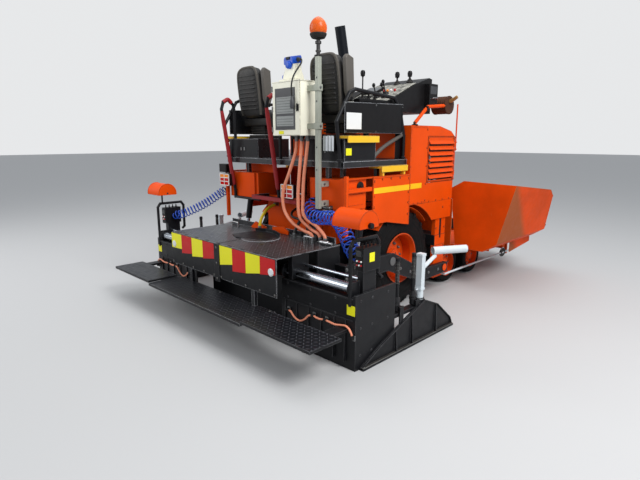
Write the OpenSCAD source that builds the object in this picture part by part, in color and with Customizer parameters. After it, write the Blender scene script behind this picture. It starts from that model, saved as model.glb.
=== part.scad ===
// Wheeled asphalt paver with an extending screed.
// X is the machine's right, Y is forward, Z is up, and the floor is at Z = 0.
// Lengths along Y in the sections below are counted from the rear axle.

/* [Overall] */
// Distance from the rear axle back to the edge of the walkway
walk_back = 2012; // [1960:1:2100]
// Distance from the rear axle forward to the front of the push rollers
push_front = 2960; // [2930:1:3100]
// Width over the side panels
body_w = 1870; // [1860:2:1900]

/* [Rear wheels] */
// Radius of the rear tyres out to the lugs
tyre_r = 526; // [500:1:530]
// Width of a rear tyre
tyre_w = 290; // [260:1:295]
// Distance from the centre line to a rear tyre's outer face
tyre_face = 905; // [895:1:908]
// Outer radius of a rear rim's flange
rim_r = 268; // [240:1:280]
// Height of the tread lugs
lug_h = 16; // [8:1:24]
// Number of lugs round one half of the tread
lug_count = 18; // [16:1:26]

/* [Front wheels] */
// Radius of the solid front tyres
front_r = 230; // [210:1:235]
// Width of a front tyre
front_w = 225; // [180:1:230]
// Distance from the centre line to a front tyre's inner face
front_in = 578; // [576:1:590]
// Distance of the bogie's middle ahead of the rear axle
bogie_y = 1460; // [1440:1:1480]
// Distance between the two front axles
bogie_gap = 620; // [600:1:640]

/* [Hopper] */
// Distance of the hopper's rear wall ahead of the rear axle
hopper_y = 1100; // [1090:1:1110]
// Length of a hopper wing
wing_len = 1435; // [1350:1:1450]
// Distance of the wing hinges from the centre line
hinge_x = 900; // [895:1:905]
// Height of the wing hinges
hinge_z = 490; // [485:1:495]
// Height of the wings' upper edge at the rear
wing_top = 1263; // [1200:1:1300]
// Distance of a wing's upper outer corner from the centre line
wing_out = 1615; // [1580:1:1650]
// Thickness of the hopper's plates
plate_t = 8; // [5:1:10]

/* [Hood and platform] */
// Height of the engine hood
hood_top = 1900; // [1860:1:1940]
// Height of the side panels' upper edge
side_top = 1410; // [1390:1:1430]
// Height of the operator's floor
floor_z = 1560; // [1540:1:1580]
// Number of louvres in a service door
louvre_count = 7; // [5:1:8]
// Height of the upper yellow step
step_high = 1790; // [1760:1:1800]
// Height of the lower yellow step
step_low = 1505; // [1490:1:1520]

/* [Screed] */
// Width of the base screed
base_w = 1708; // [1660:2:1760]
// Height of the deck
deck_z = 805; // [790:1:815]
// Distance from the rear axle back to the deck's striped edge
deck_back = 1682; // [1660:1:1700]
// Distance from the rear axle back to the base screed's front face
screed_front = 910; // [905:1:920]
// Distance that each extension stands out
ext_out = 724; // [600:1:730]
// Height of the extension beams' upper face
beam_top = 585; // [570:1:600]
// Radius of the bright guide tubes
guide_r = 41; // [30:1:45]
// Height of the guide tubes
guide_z = 640; // [636:1:650]
// Radius of the auger flights
auger_r = 150; // [120:1:152]

/* [Hidden] */
$fn = 40;

orange = [0.93, 0.33, 0.06];
black = [0.11, 0.11, 0.12];
dark = [0.2, 0.2, 0.21];
chrome = [0.85, 0.86, 0.88];
pale = [0.72, 0.76, 0.78];
yellow = [0.97, 0.78, 0.05];

// The origin lies midway between the walkway's edge and the push rollers.
mid_y = (push_front - walk_back) / 2;
fit = 0.3;

// Frame members
member_in = 340;
member_out = 420;
member_top = 680;
member_low = 250;
member_step = hopper_y - 40;
member_back = -700;
member_end = -580;
member_front = 2588;
front_top = 462;
hood_y = [69, 950];
hood_x = body_w / 2 - 15;
sheet = 6;
axle_z = tyre_r;
tyre_mid = tyre_face - tyre_w / 2;
front_y = [bogie_y - bogie_gap / 2, bogie_y + bogie_gap / 2];
pin_x = front_in - 45;
beam_x = [426, 478];
beam_z = [150, 300];
pivot_z = 204.5;
column_x = body_w / 2 - 75;
rod_x = column_x + 95;
tow_pin = [body_w / 2 + 25, 750, 300];
tow_pin_r = 30;
arm_x = [body_w / 2 - 5, body_w / 2 + 49];
column_y = [640, 860];
roller_r = 80;
roller_y = push_front - roller_r;
roller_z = 300;
push_y = [member_front + 12, member_front + 92];
auger_y = -screed_front + auger_r + 22;
auger_z = 236;
wing_y = [hopper_y, hopper_y + wing_len];
hinge_r = 12;
ext_in = base_w / 2 - 144;
gate_x = base_w / 2 + ext_out;
ext_y = [-1500, -1212];
beam_low = 400;
guide_y = -1440;
rail_z = 697;
mast_x = [640, 682];
mast_half = (mast_x[1] - mast_x[0]) / 2;
mast_y = -1000;
mast_top = 2470;
box_x = [160, 538];
box_y = [-1110, -842];
box_z = [1793, 2274];

seat_y = -778;
seat_z = 1985;
cab_top = step_high - 24;
step_out = hood_x + 3;
deck_x = body_w / 2 - 50;
seat_x = [265 - deck_x, deck_x - 340];
side_rail_x = body_w / 2 - 83;
desk_x = side_rail_x - 32;
panel_x = gate_x - 78;

// Places a shape that is drawn from the rear axle.
module from_axle() { translate([0, -mid_y, 0]) children(); }
// A block between two limits along each axis.
module slab(x, y, z) {
  translate([x[0], y[0], z[0]]) cube([x[1] - x[0], y[1] - y[0], z[1] - z[0]]);
}
// The same shape on the left and on the right.
module both() {
  children();
  mirror([1, 0, 0]) children();
}
module side(s) {
  if (s > 0) children();
  else mirror([1, 0, 0]) children();
}
// An outline of Y and Z points, given its thickness along X.
module wall(x0, t, points) {
  translate([x0, 0, 0]) rotate([90, 0, 90]) linear_extrude(t) polygon(points);
}
// An outline of X and Z points, given its thickness along Y.
module bulkhead(y0, t, points) {
  translate([0, y0 + t, 0]) rotate([90, 0, 0]) linear_extrude(t) polygon(points);
}
// A round bar from one point to another.
module bar(p, q, r) {
  d = q - p;
  translate(p)
    rotate([0, acos(d[2] / norm(d)), atan2(d[1], d[0])])
      cylinder(r = r, h = norm(d));
}
// A bent round bar through a list of points.
module rail(points, r) {
  for (i = [0:len(points) - 2]) {
    bar(points[i], points[i + 1], r);
    if (i > 0) translate(points[i]) sphere(r = r + 0.8);
  }
}
// A round bar along Y from a point.
module along(p, h, r) {
  translate(p) rotate([-90, 0, 0]) cylinder(r = r, h = h);
}
module x_bar(x, y, z, r) {
  translate([x[0], y, z]) rotate([0, 90, 0]) cylinder(r = r, h = x[1] - x[0]);
}
// A flexible tube swept along points, with flat ends.
function unit(v) = v / norm(v);
function ahead(p, i) = unit(p[min(i + 1, len(p) - 1)] - p[max(i - 1, 0)]);
function ring(c, t, r, n) =
  let (u = unit(cross(t, abs(t[0]) < 0.9 ? [1, 0, 0] : [0, 1, 0])), v = cross(t, u))
  [for (k = [0:n - 1]) c + r * cos(360 * k / n) * u + r * sin(360 * k / n) * v];
module tube(points, r, n = 8) {
  last = len(points) - 1;
  rings = [for (i = [0:last]) each ring(points[i], ahead(points, i), r, n)];
  faces = [
    [for (k = [0:n - 1]) k],
    for (i = [0:last - 1], k = [0:n - 1]) each [
      [i * n + k, (i + 1) * n + k, (i + 1) * n + (k + 1) % n],
      [i * n + k, (i + 1) * n + (k + 1) % n, i * n + (k + 1) % n]],
    [for (k = [n - 1:-1:0]) last * n + k]
  ];
  polyhedron(points = rings, faces = [for (f = faces) [for (j = [len(f) - 1:-1:0]) f[j]]]);
}

module chassis_frame() color(dark) from_axle() {
  both() {
    wall(member_in, member_out - member_in, [
      [member_end, member_low], [member_front, member_low], [member_front, front_top],
      [member_step, front_top], [member_step, member_top], [member_back, member_top],
      [member_back, 420], [member_end, 420]]);
    // Box that carries the tow point column
    difference() {
      slab([member_out, column_x + 45], column_y, [560, member_top]);
      slab([member_out - 1, column_x + 30], [column_y[0] + 10, column_y[1] - 10], [570, member_top - 10]);
    }
  }
  slab([-member_in, member_in], [member_back, member_step], [member_top - 14, member_top]);
  for (y = [-500, 560, 2420]) slab([-member_in, member_in], [y - 40, y + 40], [member_low, 286]);
  // Auger gearbox in the middle, with its hanger
  slab([-62, 62], [member_back - 12, member_back], [250, member_top]);
  x_bar([-62, 62], auger_y, auger_z, 95);
  slab([-62, 62], [auger_y - 40, member_back - 12], [290, 420]);
}

// The slat conveyor: floor, chains and bars
slat_pitch = 180;
link = 90;
conveyor_y = [-540, 2556];
module conveyor() color(dark) from_axle() {
  slab([-member_in, member_in], conveyor_y, [330, 342]);
  // Chains, each link waisted between its pins
  links = floor((conveyor_y[1] - conveyor_y[0] - 80) / link);
  chain_y = conveyor_y[0] + 40;
  for (s = [-1, 1]) wall(s * 290 - 22, 44, concat(
    [[chain_y, 342], [chain_y + links * link, 342]],
    [for (i = [links:-1:1], p = [[0, 364], [16, 364], [28, 354], [link - 28, 354], [link - 16, 364]])
      if (p[0] > 0 || i == links) [chain_y + i * link - p[0], p[1]]],
    [[chain_y, 364]]));
  for (y = [conveyor_y[0] + 70 : slat_pitch : conveyor_y[1] - 70])
    slab([-268, 268], [y - 20, y + 20], [342, 366]);
  for (y = conveyor_y) x_bar([-member_in, member_in], y, 322, 24);
}

// Diesel engine with its radiator, turned lengthwise
module engine_block() color(dark) from_axle() {
  slab([-200, 200], [300, 800], [760, 1120]);
  slab([-150, 150], [340, 760], [member_top + fit, 760]);
  slab([-140, 140], [310, 790], [1120, 1250]);
  bulkhead(330, 440, [[-110, 1250], [110, 1250], [110, 1310], [70, 1340], [-70, 1340], [-110, 1310]]);
  for (s = [-1, 1], y = [380, 700]) slab([s * 260 - 60, s * 260 + 60], [y, y + 60], [member_top + fit, 790]);
  // Flywheel housing, fan shroud and radiator
  along([0, 240, 960], 62, 235);
  along([0, 798, 1100], 44, 250);
  slab([-320, 320], [840, 900], [member_top + fit, 1480]);
  // Manifolds with their branches
  for (s = [-1, 1]) {
    along([s * 215, 340, 1180], 420, s > 0 ? 40 : 34);
    for (y = [380, 500, 620, 740]) x_bar(s > 0 ? [130, 215] : [-215, -130], y, 1180, 24);
  }
  // Turbocharger and its pipe up to the stack
  along([-262, 560, 1250], 110, 78);
  rail([[-262, 615, 1250], [-300, 618, 1400], [-330, 618, 1500], [-330, 618, hood_top - 30]], 40);
  // Air filter with its duct
  along([225, 340, 1420], 340, 88);
  translate([225, 620, 1200]) cylinder(r = 34, h = 200);
  // Oil filters
  for (y = [420, 540]) translate([232, y, 820]) cylinder(r = 44, h = 190);
}

// Final drives of the rear wheels, bogies of the front wheels
module running_gear() color(dark) from_axle() {
  both() {
    x_bar([member_out, 600], 0, axle_z, 150);
    x_bar([600, tyre_mid + 2 - fit], 0, axle_z, 118);
    // Bogie beam with the ears of its two kingpins
    slab(beam_x, [front_y[0] - 60, front_y[1] + 60], beam_z);
    for (y = front_y, z = [[322, 352], [104, 134]]) {
      difference() {
        union() {
          slab([beam_x[0], pin_x], [y - 33, y + 33], z);
          translate([pin_x, y, z[0]]) cylinder(r = 33, h = z[1] - z[0]);
        }
        translate([pin_x, y, z[0] - 1]) cylinder(r = 16, h = z[1] - z[0] + 2);
      }
      slab([beam_x[0], beam_x[0] + 40], [y - 33, y + 33],
        z[0] > 200 ? [beam_z[1], z[0]] : [z[1], beam_z[0]]);
    }
  }
  x_bar([-beam_x[0], beam_x[0]], bogie_y, pivot_z, 45);
}

// Fixed part of the hopper: floor, rear wall, hinge pins and push beam
module hopper_body() color(orange) from_axle() {
  floor_y = [member_step + 5, wing_y[1] + 20];
  both() {
    bulkhead(floor_y[0], floor_y[1] - floor_y[0], [
      [330, front_top + 0.2], [hinge_x - 28, 480], [hinge_x - 28, 480 + plate_t],
      [330, front_top + plate_t]]);
    translate([hinge_x, wing_y[0] - 25, hinge_z]) rotate([-90, 0, 0])
      cylinder(r = hinge_r, h = wing_len + 50);
    for (y = [wing_y[0] - 25, wing_y[1] + 8])
      slab([hinge_x - 60, hinge_x + 20], [y, y + 17], [470, 512]);
    slab([member_out, hinge_x - 20], [wing_y[1] + 8, wing_y[1] + 28], [400, 492]);
    // Drop strap that carries the guide rod's front end
    slab([hinge_x + 10, rod_x - 12 - fit], [wing_y[1] + 8, wing_y[1] + 28], [150, 484]);
    // Brackets of the push rollers
    for (x = [62, 800])
      slab([x, x + 22], [push_y[1], roller_y + 30], [roller_z - 45, roller_z + 60]);
  }
  difference() {
    slab([-860, 860], push_y, [200, 420]);
    slab([-848, 848], [push_y[0] + 12, push_y[1] - 12], [212, 408]);
  }
  slab([-856, 856], [push_y[0] - 12, push_y[0]], [300, 560]);
  // Rear wall behind the wings' walls, open over the conveyor
  bulkhead(member_step + 5, plate_t, [
    [-870, 486], [-330, 467], [-330, 700], [330, 700], [330, 467], [870, 486],
    [870, 1060], [-870, 1060]]);
}

hood_line = [[hood_y[0], 1080], [hood_y[0], hood_top], [620, hood_top], [860, hood_top - 50],
  [hood_y[1], hood_top - 110], [hood_y[1], 1080]];
door_y = [395, 935];
door_z = [1300, 1790];
door_hinge_y = door_y[1] + 9;
module hood_block(inset) {
  rotate([90, 0, 90]) linear_extrude(2 * (hood_x - inset), center = true)
    offset(delta = -inset) polygon(hood_line);
}
module engine_hood() color(orange) from_axle() {
  difference() {
    hood_block(0);
    translate([0, 0, -sheet]) hood_block(sheet);
    slab([-hood_x - 1, hood_x + 1], [door_y[0] - 4, door_y[1] + 4], [door_z[0] - 4, door_z[1] + 4]);
    slab([-700, 700], [hood_y[1] - 10, hood_y[1] + 1], [1180, 1620]);
  }
  // Hinge pins of the service doors, between two brackets
  both() {
    translate([hood_x + 9, door_hinge_y, door_z[0] + 5]) cylinder(r = 4, h = 480);
    for (z = [door_z[0] + 5, door_z[1] - 15])
      slab([hood_x, hood_x + 14], [door_hinge_y - 5, hood_y[1]], [z, z + 10]);
  }
  // Sighting rod on its brackets
  for (z = [1640, 1720]) slab([hood_x - 34, hood_x - 6], [hood_y[1] - 1, 1012], [z, z + 14]);
  translate([hood_x - 16, 1000, 1630]) cylinder(r = 8, h = 520);
  // Grille bars ahead of the radiator
  for (z = [1205 : 45 : 1600]) slab([-704, 704], [hood_y[1] - sheet, hood_y[1]], [z, z + 14]);
  for (x = [-350, 0, 350]) slab([x - 8, x + 8], [hood_y[1] - sheet - 8, hood_y[1] - sheet], [1170, 1630]);
}

arch = [60, 470, 622];
module side_panels() color(orange) from_axle() both() {
  x0 = body_w / 2 - 8;
  liner_x = tyre_face - tyre_w - 14;
  liner_r = tyre_r + 15;
  // Flat panel that carries the yellow stripe
  wall(x0, 8, [[-545, 955], [-319, 955], [66, 885], [66, side_top], [-545, side_top]]);
  // Rear corner post and the ledge along the top
  slab([x0 - 22, x0 + 8], [-925, -890], [886, side_top + 26]);
  slab([x0 - 60, x0], [-925, 66], [1400 + fit, side_top]);
  slab([x0 - 22, x0], [-890, -530], [1280, 1320]);
  // Skirt below the hood, cut by the wheel arch
  difference() {
    wall(hood_x - sheet, sheet, [[72, 1080 - fit], [940, 1080 - fit], [940, 872], [72, 872]]);
    translate([hood_x - 50, arch[0], arch[1]]) rotate([0, 90, 0]) cylinder(r = arch[2], h = 60, $fn = 96);
  }
  // Arch liner over the rear wheel
  difference() {
    x_bar([liner_x, hood_x - sheet - fit], 0, axle_z, liner_r + 5);
    x_bar([liner_x - 1, hood_x], 0, axle_z, liner_r);
    slab([500, 1000], [-800, 800], [-300, 876]);
  }
  // Inner wall and roof of the wheel well
  wall(member_out - 6, 6, [[-560, member_top + fit], [640, member_top + fit], [640, 1074], [-560, 1074]]);
  slab([member_out, liner_x], [-500, 640], [1068, 1074]);
  slab([liner_x - 60, column_x], [column_y[0] - 40, column_y[0] + 40], [1068, 1074]);
  // Tow point column, with the slot and holes of its lower end, and the tow pin
  difference() {
    slab([column_x, column_x + 45], column_y, [170, 1074]);
    slab([column_x - 10, column_x + 33], [column_y[0] + 12, column_y[1] - 12], [182, 1062]);
    slab([column_x - 10, column_x + 46], [column_y[0] - 1, column_y[1] + 1], [560 - fit, member_top + fit]);
    for (z = [400, 520]) x_bar([column_x + 20, column_x + 46], 680, z, 9);
  }
  slab([column_x + 45, hood_x - sheet], [700, 800], [900, 1060]);
  x_bar([column_x + 20, arm_x[1] + 5], tow_pin[1], tow_pin[2], tow_pin_r);
  x_bar([arm_x[1] + 5, arm_x[1] + 10], tow_pin[1], tow_pin[2], tow_pin_r + 12);
  slab([column_x, column_x + 33], [tow_pin[1] - 40, tow_pin[1] + 40], [260, 340]);
}

module rear_tanks() color(orange) from_axle() {
  both() {
    slab([member_out + 30, hood_x - 24], [-880, -600], [1120, 1400]);
    slab([member_out - 14, member_out + 30], [-860, -620], [1120, 1400]);
    slab([member_out - 60, member_out], [-700, -562], [member_top + fit, 1120]);
    // Bracket with the upper pin of the lift cylinder
    slab([lift_top[0] + 18, lift_top[0] + 26], [lift_top[1] - 30, lift_top[1] + 15], [lift_top[2] - 13, 1120]);
    x_bar([lift_top[0] - 18, lift_top[0] + 18], lift_top[1], lift_top[2], 12);
  }
  // Rear wall above the material's way out
  slab([-member_out, member_out], [-720, -702], [member_top + fit, 1160]);
  // Riser behind the rear tray
  slab([-815, -297], [-718, -700], [1400, floor_z - 62]);
}

module platform() color(dark) from_axle() {
  beam = [step_low + fit, floor_z - 22];
  slab([-deck_x, deck_x], [-905, 62], [floor_z - 22, floor_z]);
  both() {
    slab([deck_x - 50, deck_x], [-905, 62], beam);
    for (y = [-840, -640]) slab([600, 640], [y, y + 40], [1400 + fit, floor_z - 22]);
    slab([540, 580], [-40, 0], [1074 + fit, floor_z - 22]);
    // Cabinets under the seats
    slab([360, deck_x - 5], [-890, -450], [floor_z, cab_top]);
    // Weather panel on the side rail
    wall(side_rail_x + 18 + fit, 5, [[-885, step_high + 26], [-20, step_high + 26], [-20, 2100], [-885, 2080]]);
  }
  slab([50 - deck_x, deck_x - 50], [-905, -865], beam);
  slab([50 - deck_x, deck_x - 50], [22, 62], beam);
  // Tray of the rear climb
  slab([-402, 303], [-950, -720 - fit], [1132, 1140]);
  slab([-402, 303], [-956, -950], [1132, 1172]);
  for (x = [-402, 297]) slab([x, x + 6], [-950, -720 - fit], [1140, 1172]);
}

module yellow_steps() color(yellow) from_axle() both() {
  slab([step_out - 117, step_out], [-892, -448], [cab_top + fit, step_high]);
  slab([step_out - 8, step_out], [-892, -448], [step_high - 60, cab_top + fit]);
  slab([step_out - 163, step_out], [-397, 34], [step_low - 24, step_low]);
  slab([step_out - 8, step_out], [-397, 34], [step_low - 58, step_low - 24]);
  for (y = [-370, -20]) slab([step_out - 53, step_out - 13], [y, y + 30], [side_top + fit, step_low - 24]);
}

module handrails() color(black) from_axle() {
  // Rear climb: left and right rail, joined by the bar below
  for (x = [-785, -12]) {
    low = x < -100 ? [x, -898.3, 1104] : [x, -905, 1140 + fit];
    rail([low, [x, low[1], 1200], [x, -1045, 2080], [x, -1020, 2155], [x, -955, 2185],
      [x, -890, 2130], [x, -873, 2030], [x, -873, x < -100 ? cab_top + fit : floor_z + fit]], 17);
  }
  x_bar([-785, -330], -898.3, 1132 - 14 - fit, 14);
  // Side rails that carry the weather panels
  both() translate([side_rail_x, 0, 0]) rail([[0, -905 - 17 - fit, step_low + 5], [0, -905 - 17 - fit, 1600],
    [0, -968, 1910], [0, -800, 2165], [0, -722, 2198], [0, -136, 2155], [0, -28, 2026], [0, 40, 1790],
    [0, 40, floor_z + fit]], 17);
}

module console() color(black) from_axle() {
  // Cabinet at the front of the floor
  slab([-300, desk_x], [-60, 60], [floor_z, 2030]);
  // Desk over the hood
  wall(desk_x - 570, 570, [[-200, 2030], [560, 2030], [575, 2390], [520, 2400], [300, 2330], [-200, 2120]]);
  wall(-560, 740, [[-150, 2030], [240, 2030], [250, 2290], [215, 2290], [-150, 2110]]);
  // Levers and the side box with its handle
  for (p = [[desk_x - 440, -60], [desk_x - 260, 300], [desk_x - 120, 330]]) {
    translate([p[0], p[1], 2130]) cylinder(r = 7, h = 310);
    translate([p[0], p[1], 2440]) sphere(r = 20);
  }
  slab([desk_x, desk_x + 60], [440, 590], [2120, 2330]);
  // Arm shelf beside the right seat
  slab([desk_x - 55, desk_x + 10], [-640, -200], [2050, 2100]);
  slab([desk_x - 55, desk_x - 20], [-500, -455], [cab_top + fit, 2050]);
}

back_line = [[0, 1985], [-15, 2110], [-60, 2500], [-10, 2535], [40, 2500], [75, 2110], [90, 1985]];
module seats() color(black) from_axle() for (x = seat_x) translate([x, seat_y, 0]) {
  // Backrest shell with its side bolsters
  difference() {
    wall(-200, 400, back_line);
    wall(-172, 344, [[30, 2020], [-10, 2440], [90, 2440], [130, 2020]]);
  }
  // Pan, suspension and pedestal
  slab([-195, 195], [60, 560], [seat_z - 60, seat_z]);
  slab([-130, 130], [110, 310], [cab_top + 40, seat_z - 60]);
  slab([-145, 145], [90, 326], [cab_top + fit, cab_top + 40]);
  // Armrest folded up on the right
  x_bar([199, 207], 62, 2120, 26);
  wall(207, 53, [[0, 2180], [-25, 2480], [10, 2505], [95, 2475], [110, 2180], [75, 2095], [40, 2095]]);
}

module seat_cushions() color([0.16, 0.16, 0.17]) from_axle() for (x = seat_x) {
  translate([x, seat_y, 0]) {
    slab([-185, 185], [95, 565], [seat_z + fit, seat_z + 95]);
    wall(-165, 330, [[23.8, 2090], [-7.6, 2420], [52, 2425], [84, 2090]]);
  }
}

module electrical_box() color([0.93, 0.92, 0.84]) from_axle() {
  slab(box_x, box_y, box_z);
  slab([370, 500], [-885, -846], [cab_top + fit, box_z[0]]);
  slab([box_x[0] + 30, box_x[0] + 250], [box_y[0] + 60, box_y[0] + 200], [box_z[1], box_z[1] + 60]);
  slab([box_x[0] + 90, box_x[0] + 220], [box_y[0] + 80, box_y[0] + 180], [box_z[1] + 60, box_z[1] + 250]);
}

module mast() color([0.55, 0.57, 0.52]) from_axle() {
  mid = (mast_x[0] + mast_x[1]) / 2;
  slab(mast_x, [mast_y - mast_half, mast_y + mast_half], [1130, mast_top]);
  translate([mid, mast_y, mast_top]) cylinder(r = 18, h = 140);
  translate([mid, mast_y, mast_top + 140]) cylinder(r = 60, h = 40);
  // Brackets to the box and to the tanks
  for (z = [1850, 2180]) slab([box_x[1] + fit, mast_x[0]], [mast_y - 20, mast_y + 20], [z, z + 50]);
  for (z = [1150, 1330]) slab(mast_x, [mast_y + mast_half, -880 - fit], [z, z + 50]);
  // Beacon
  translate([mid, mast_y, mast_top + 180]) {
    cylinder(r = 78, h = 60);
    translate([0, 0, 60]) intersection() {
      sphere(r = 78);
      translate([0, 0, 60]) cube([200, 200, 120], center = true);
    }
  }
}

// Exhaust stack, leaning back
module exhaust_stack() color(black) from_axle() {
  low = [-330, 636, hood_top - 80];
  high = [-330, 350, hood_top + 1166];
  lean = unit(high - low);
  difference() {
    bar(low, high, 62);
    bar(low - 20 * lean, high + 20 * lean, 56);
    slab([-500, 0], [400, 900], [hood_top - 200, hood_top + fit]);
  }
}

module muffler() color([0.36, 0.22, 0.15]) from_axle() {
  x_bar([hood_x - 180, hood_x - 4], 800, 2130, 92);
  translate([hood_x - 22, 0, 0])
    rail([[0, 165, hood_top + fit], [0, 165, hood_top + 25], [0, 390, 2095], [0, 722, 2120]], 17);
}

lamp_x = [-863, 211];
module lamps() color([0.9, 0.9, 0.9]) from_axle() {
  // Rear light clusters on brackets
  for (i = [0, 1])
    slab([lamp_x[i] - 88, lamp_x[i] + 88], [-985, -945], [1245 - i * 55, 1378 - i * 55]);
  for (i = [0, 1], x = [-46, 0, 46]) along([lamp_x[i] + x, -991, 1311 - i * 55], 7, 18);
  slab([-883, -843], [-945, -880 - fit], [1290, 1330]);
  slab([201, 221], [-945, -740], [1240, 1275]);
  slab([201, 221], [-760, -740], [1140 + fit, 1240]);
  // Work lamp by the mast
  slab([590, 700], [-950, -900], [1650, 1764]);
  slab([630, 660], [-900, -890 - fit], [1690, 1730]);
}

module guide_rod() color(pale) from_axle() {
  rail([[column_x + 45 + fit, 830, 195], [rod_x, 830, 195], [rod_x, 2600, 195]], 12);
  translate([rod_x, 2380, 200]) rotate([0, 90, 0]) cylinder(r = 70, h = 10, center = true);
}

// Hose routes from the tractor's rear to the screed
hose_routes = [
  [[350, -980, 1792.6], [350, -980, 1740], [340, -985, 1640], [265, -1000, 1450], [180, -1012, 1250],
    [190, -1010, 1080], [290, -1000, 960], [440, -985, 895], [550, -1000, 880], [580, -1000, 850],
    [580, -1000, 805.4]],
  [[420, -980, 1792.6], [420, -980, 1740], [415, -990, 1600], [400, -1000, 1400], [390, -1005, 1200],
    [410, -1000, 1020], [520, -965, 920], [620, -965, 885], [650, -968, 850],
    [650, -968, 805.4]],
  [[480, -960, 1792.6], [480, -960, 1740], [470, -970, 1600], [445, -980, 1400], [437, -985, 1200],
    [457, -990, 1040], [600, -960, 950], [695, -968, 890], [720, -970, 850],
    [720, -970, 805.4]],
  [[-250, -720.4, 1060], [-250, -765, 1060], [-250, -870, 1020], [-245, -950, 945], [-240, -985, 860],
    [-240, -985, 805.4]],
  [[330, -720.4, 1040], [330, -765, 1040], [335, -870, 1010], [330, -945, 945], [320, -990, 860],
    [320, -990, 805.4]]
];
module hoses() color([0.85, 0.45, 0.33]) from_axle()
  for (r = hose_routes) tube(r, 16);

// Curly cables to the control stations, each a tube of its coil's outer size
coil_paths = [
  [[-935.4, -907, 1180], [-965, -907, 1180], [-1040, -950, 1130], [-1130, -1030, 1050], [-1230, -1120, 975],
    [-1340, -1235, 905], [-1425, -1310, 875], [20.5 - panel_x, -1320, 870]],
  [[500, -880.4, 1190], [500, -915, 1190], [535, -975, 1110], [620, -1020, 1063], [720, -1045, 1057],
    [840, -1070, 1075], [960, -1105, 1085], [1090, -1160, 1050], [1220, -1225, 965], [1330, -1290, 895],
    [1420, -1320, 870], [panel_x - 20.5, -1320, 870]]
];
coil_r = [50, 60];
module coils() color([0.05, 0.2, 0.65]) from_axle()
  for (i = [0, 1]) tube(coil_paths[i], coil_r[i], 10);

// Louvred door, drawn on the right
module service_door() color(orange) from_axle() {
  // Hinge knuckles round the hood's pin
  for (z = [door_z[0] + 60, door_z[1] - 110]) difference() {
    union() {
      translate([hood_x + 9, door_hinge_y, z]) cylinder(r = 7, h = 50);
      slab([hood_x, hood_x + 9], [door_y[1] - 12, door_hinge_y], [z, z + 50]);
    }
    translate([hood_x + 9, door_hinge_y, z - 1]) cylinder(r = 4 + fit, h = 52);
  }
  pitch = (door_z[1] - door_z[0] - 60) / louvre_count;
  difference() {
    slab([hood_x - sheet, hood_x], door_y, door_z);
    for (i = [0:louvre_count - 1])
      slab([hood_x - 20, hood_x + 1], [door_y[0] + 24, door_y[1] - 24],
        [door_z[0] + 22 + i * pitch, door_z[0] + 72 + i * pitch]);
  }
  // Each louvre stands out over its slot
  for (i = [0:louvre_count - 1])
    translate([0, 0, door_z[0] + 50 + i * pitch]) bulkhead(door_y[0] + 16, door_y[1] - door_y[0] - 32, [
      [hood_x - 1, 29], [hood_x, 29], [hood_x + 24, -8], [hood_x + 22, -12], [hood_x, 23], [hood_x - 1, 23]]);
}
module service_door_right() service_door();
module service_door_left() mirror([1, 0, 0]) service_door();

// Rear wheel, drawn on the right: tyre, and deep rim with its hub
module rear_tyre() color(black) from_axle() translate([tyre_mid, 0, axle_z]) rotate([0, 90, 0]) {
  h = tyre_w / 2;
  tread = tyre_r - lug_h;
  rotate_extrude($fn = 60) polygon([
    [rim_r - 14, -h + 22], [rim_r + 60, -h + 4], [tyre_r - 110, -h], [tyre_r - 50, -h + 6],
    [tread, -h + 24], [tread, h - 24], [tyre_r - 50, h - 6], [tyre_r - 110, h],
    [rim_r + 60, h - 4], [rim_r - 14, h - 22]]);
  // Lugs that slant from the middle to either shoulder
  intersection() {
    cylinder(r = tyre_r, h = tyre_w - 30, center = true, $fn = 60);
    for (s = [0, 1], i = [0:lug_count - 1])
      mirror([0, 0, s]) rotate([0, 0, (i + s / 2) * 360 / lug_count])
        translate([tread - 14, 0, 0]) rotate([-38, 0, 0]) translate([0, -17, 4]) cube([lug_h + 30, 34, 190]);
  }
}
module rear_rim() color(orange) from_axle() translate([tyre_mid, 0, axle_z]) rotate([0, 90, 0]) {
  h = tyre_w / 2;
  g = 0.3;
  rotate_extrude($fn = 96) polygon([
    [rim_r, -h + 2], [rim_r, -h + 8], [rim_r - 14 - g, -h + 22], [rim_r - 14 - g, h - 22],
    [rim_r, h - 8], [rim_r, h - 2], [rim_r - 12, h - 2], [rim_r - 30, h - 56],
    [rim_r - 30, -6], [88, 18], [82, 55], [0, 55], [0, 2], [130, 2], [rim_r - 30, -18],
    [rim_r - 30, -h + 56], [rim_r - 12, -h + 2]]);
}
module rear_tyre_right() rear_tyre();
module rear_tyre_left() mirror([1, 0, 0]) rear_tyre();
module rear_rim_right() rear_rim();
module rear_rim_left() mirror([1, 0, 0]) rear_rim();

// Steering knuckle at front axle i, drawn on the right
module knuckle(i) color(dark) from_axle() translate([pin_x, front_y[i], 0]) {
  translate([0, 0, 139]) cylinder(r = 32, h = 178);
  translate([0, 0, 106]) cylinder(r = 16 - fit, h = 244);
  x_bar([20, 44 + 60], 0, front_r, 30);
  // Steering arm
  slab([-8, 22], [20, 90], [150, 170]);
}
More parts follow.
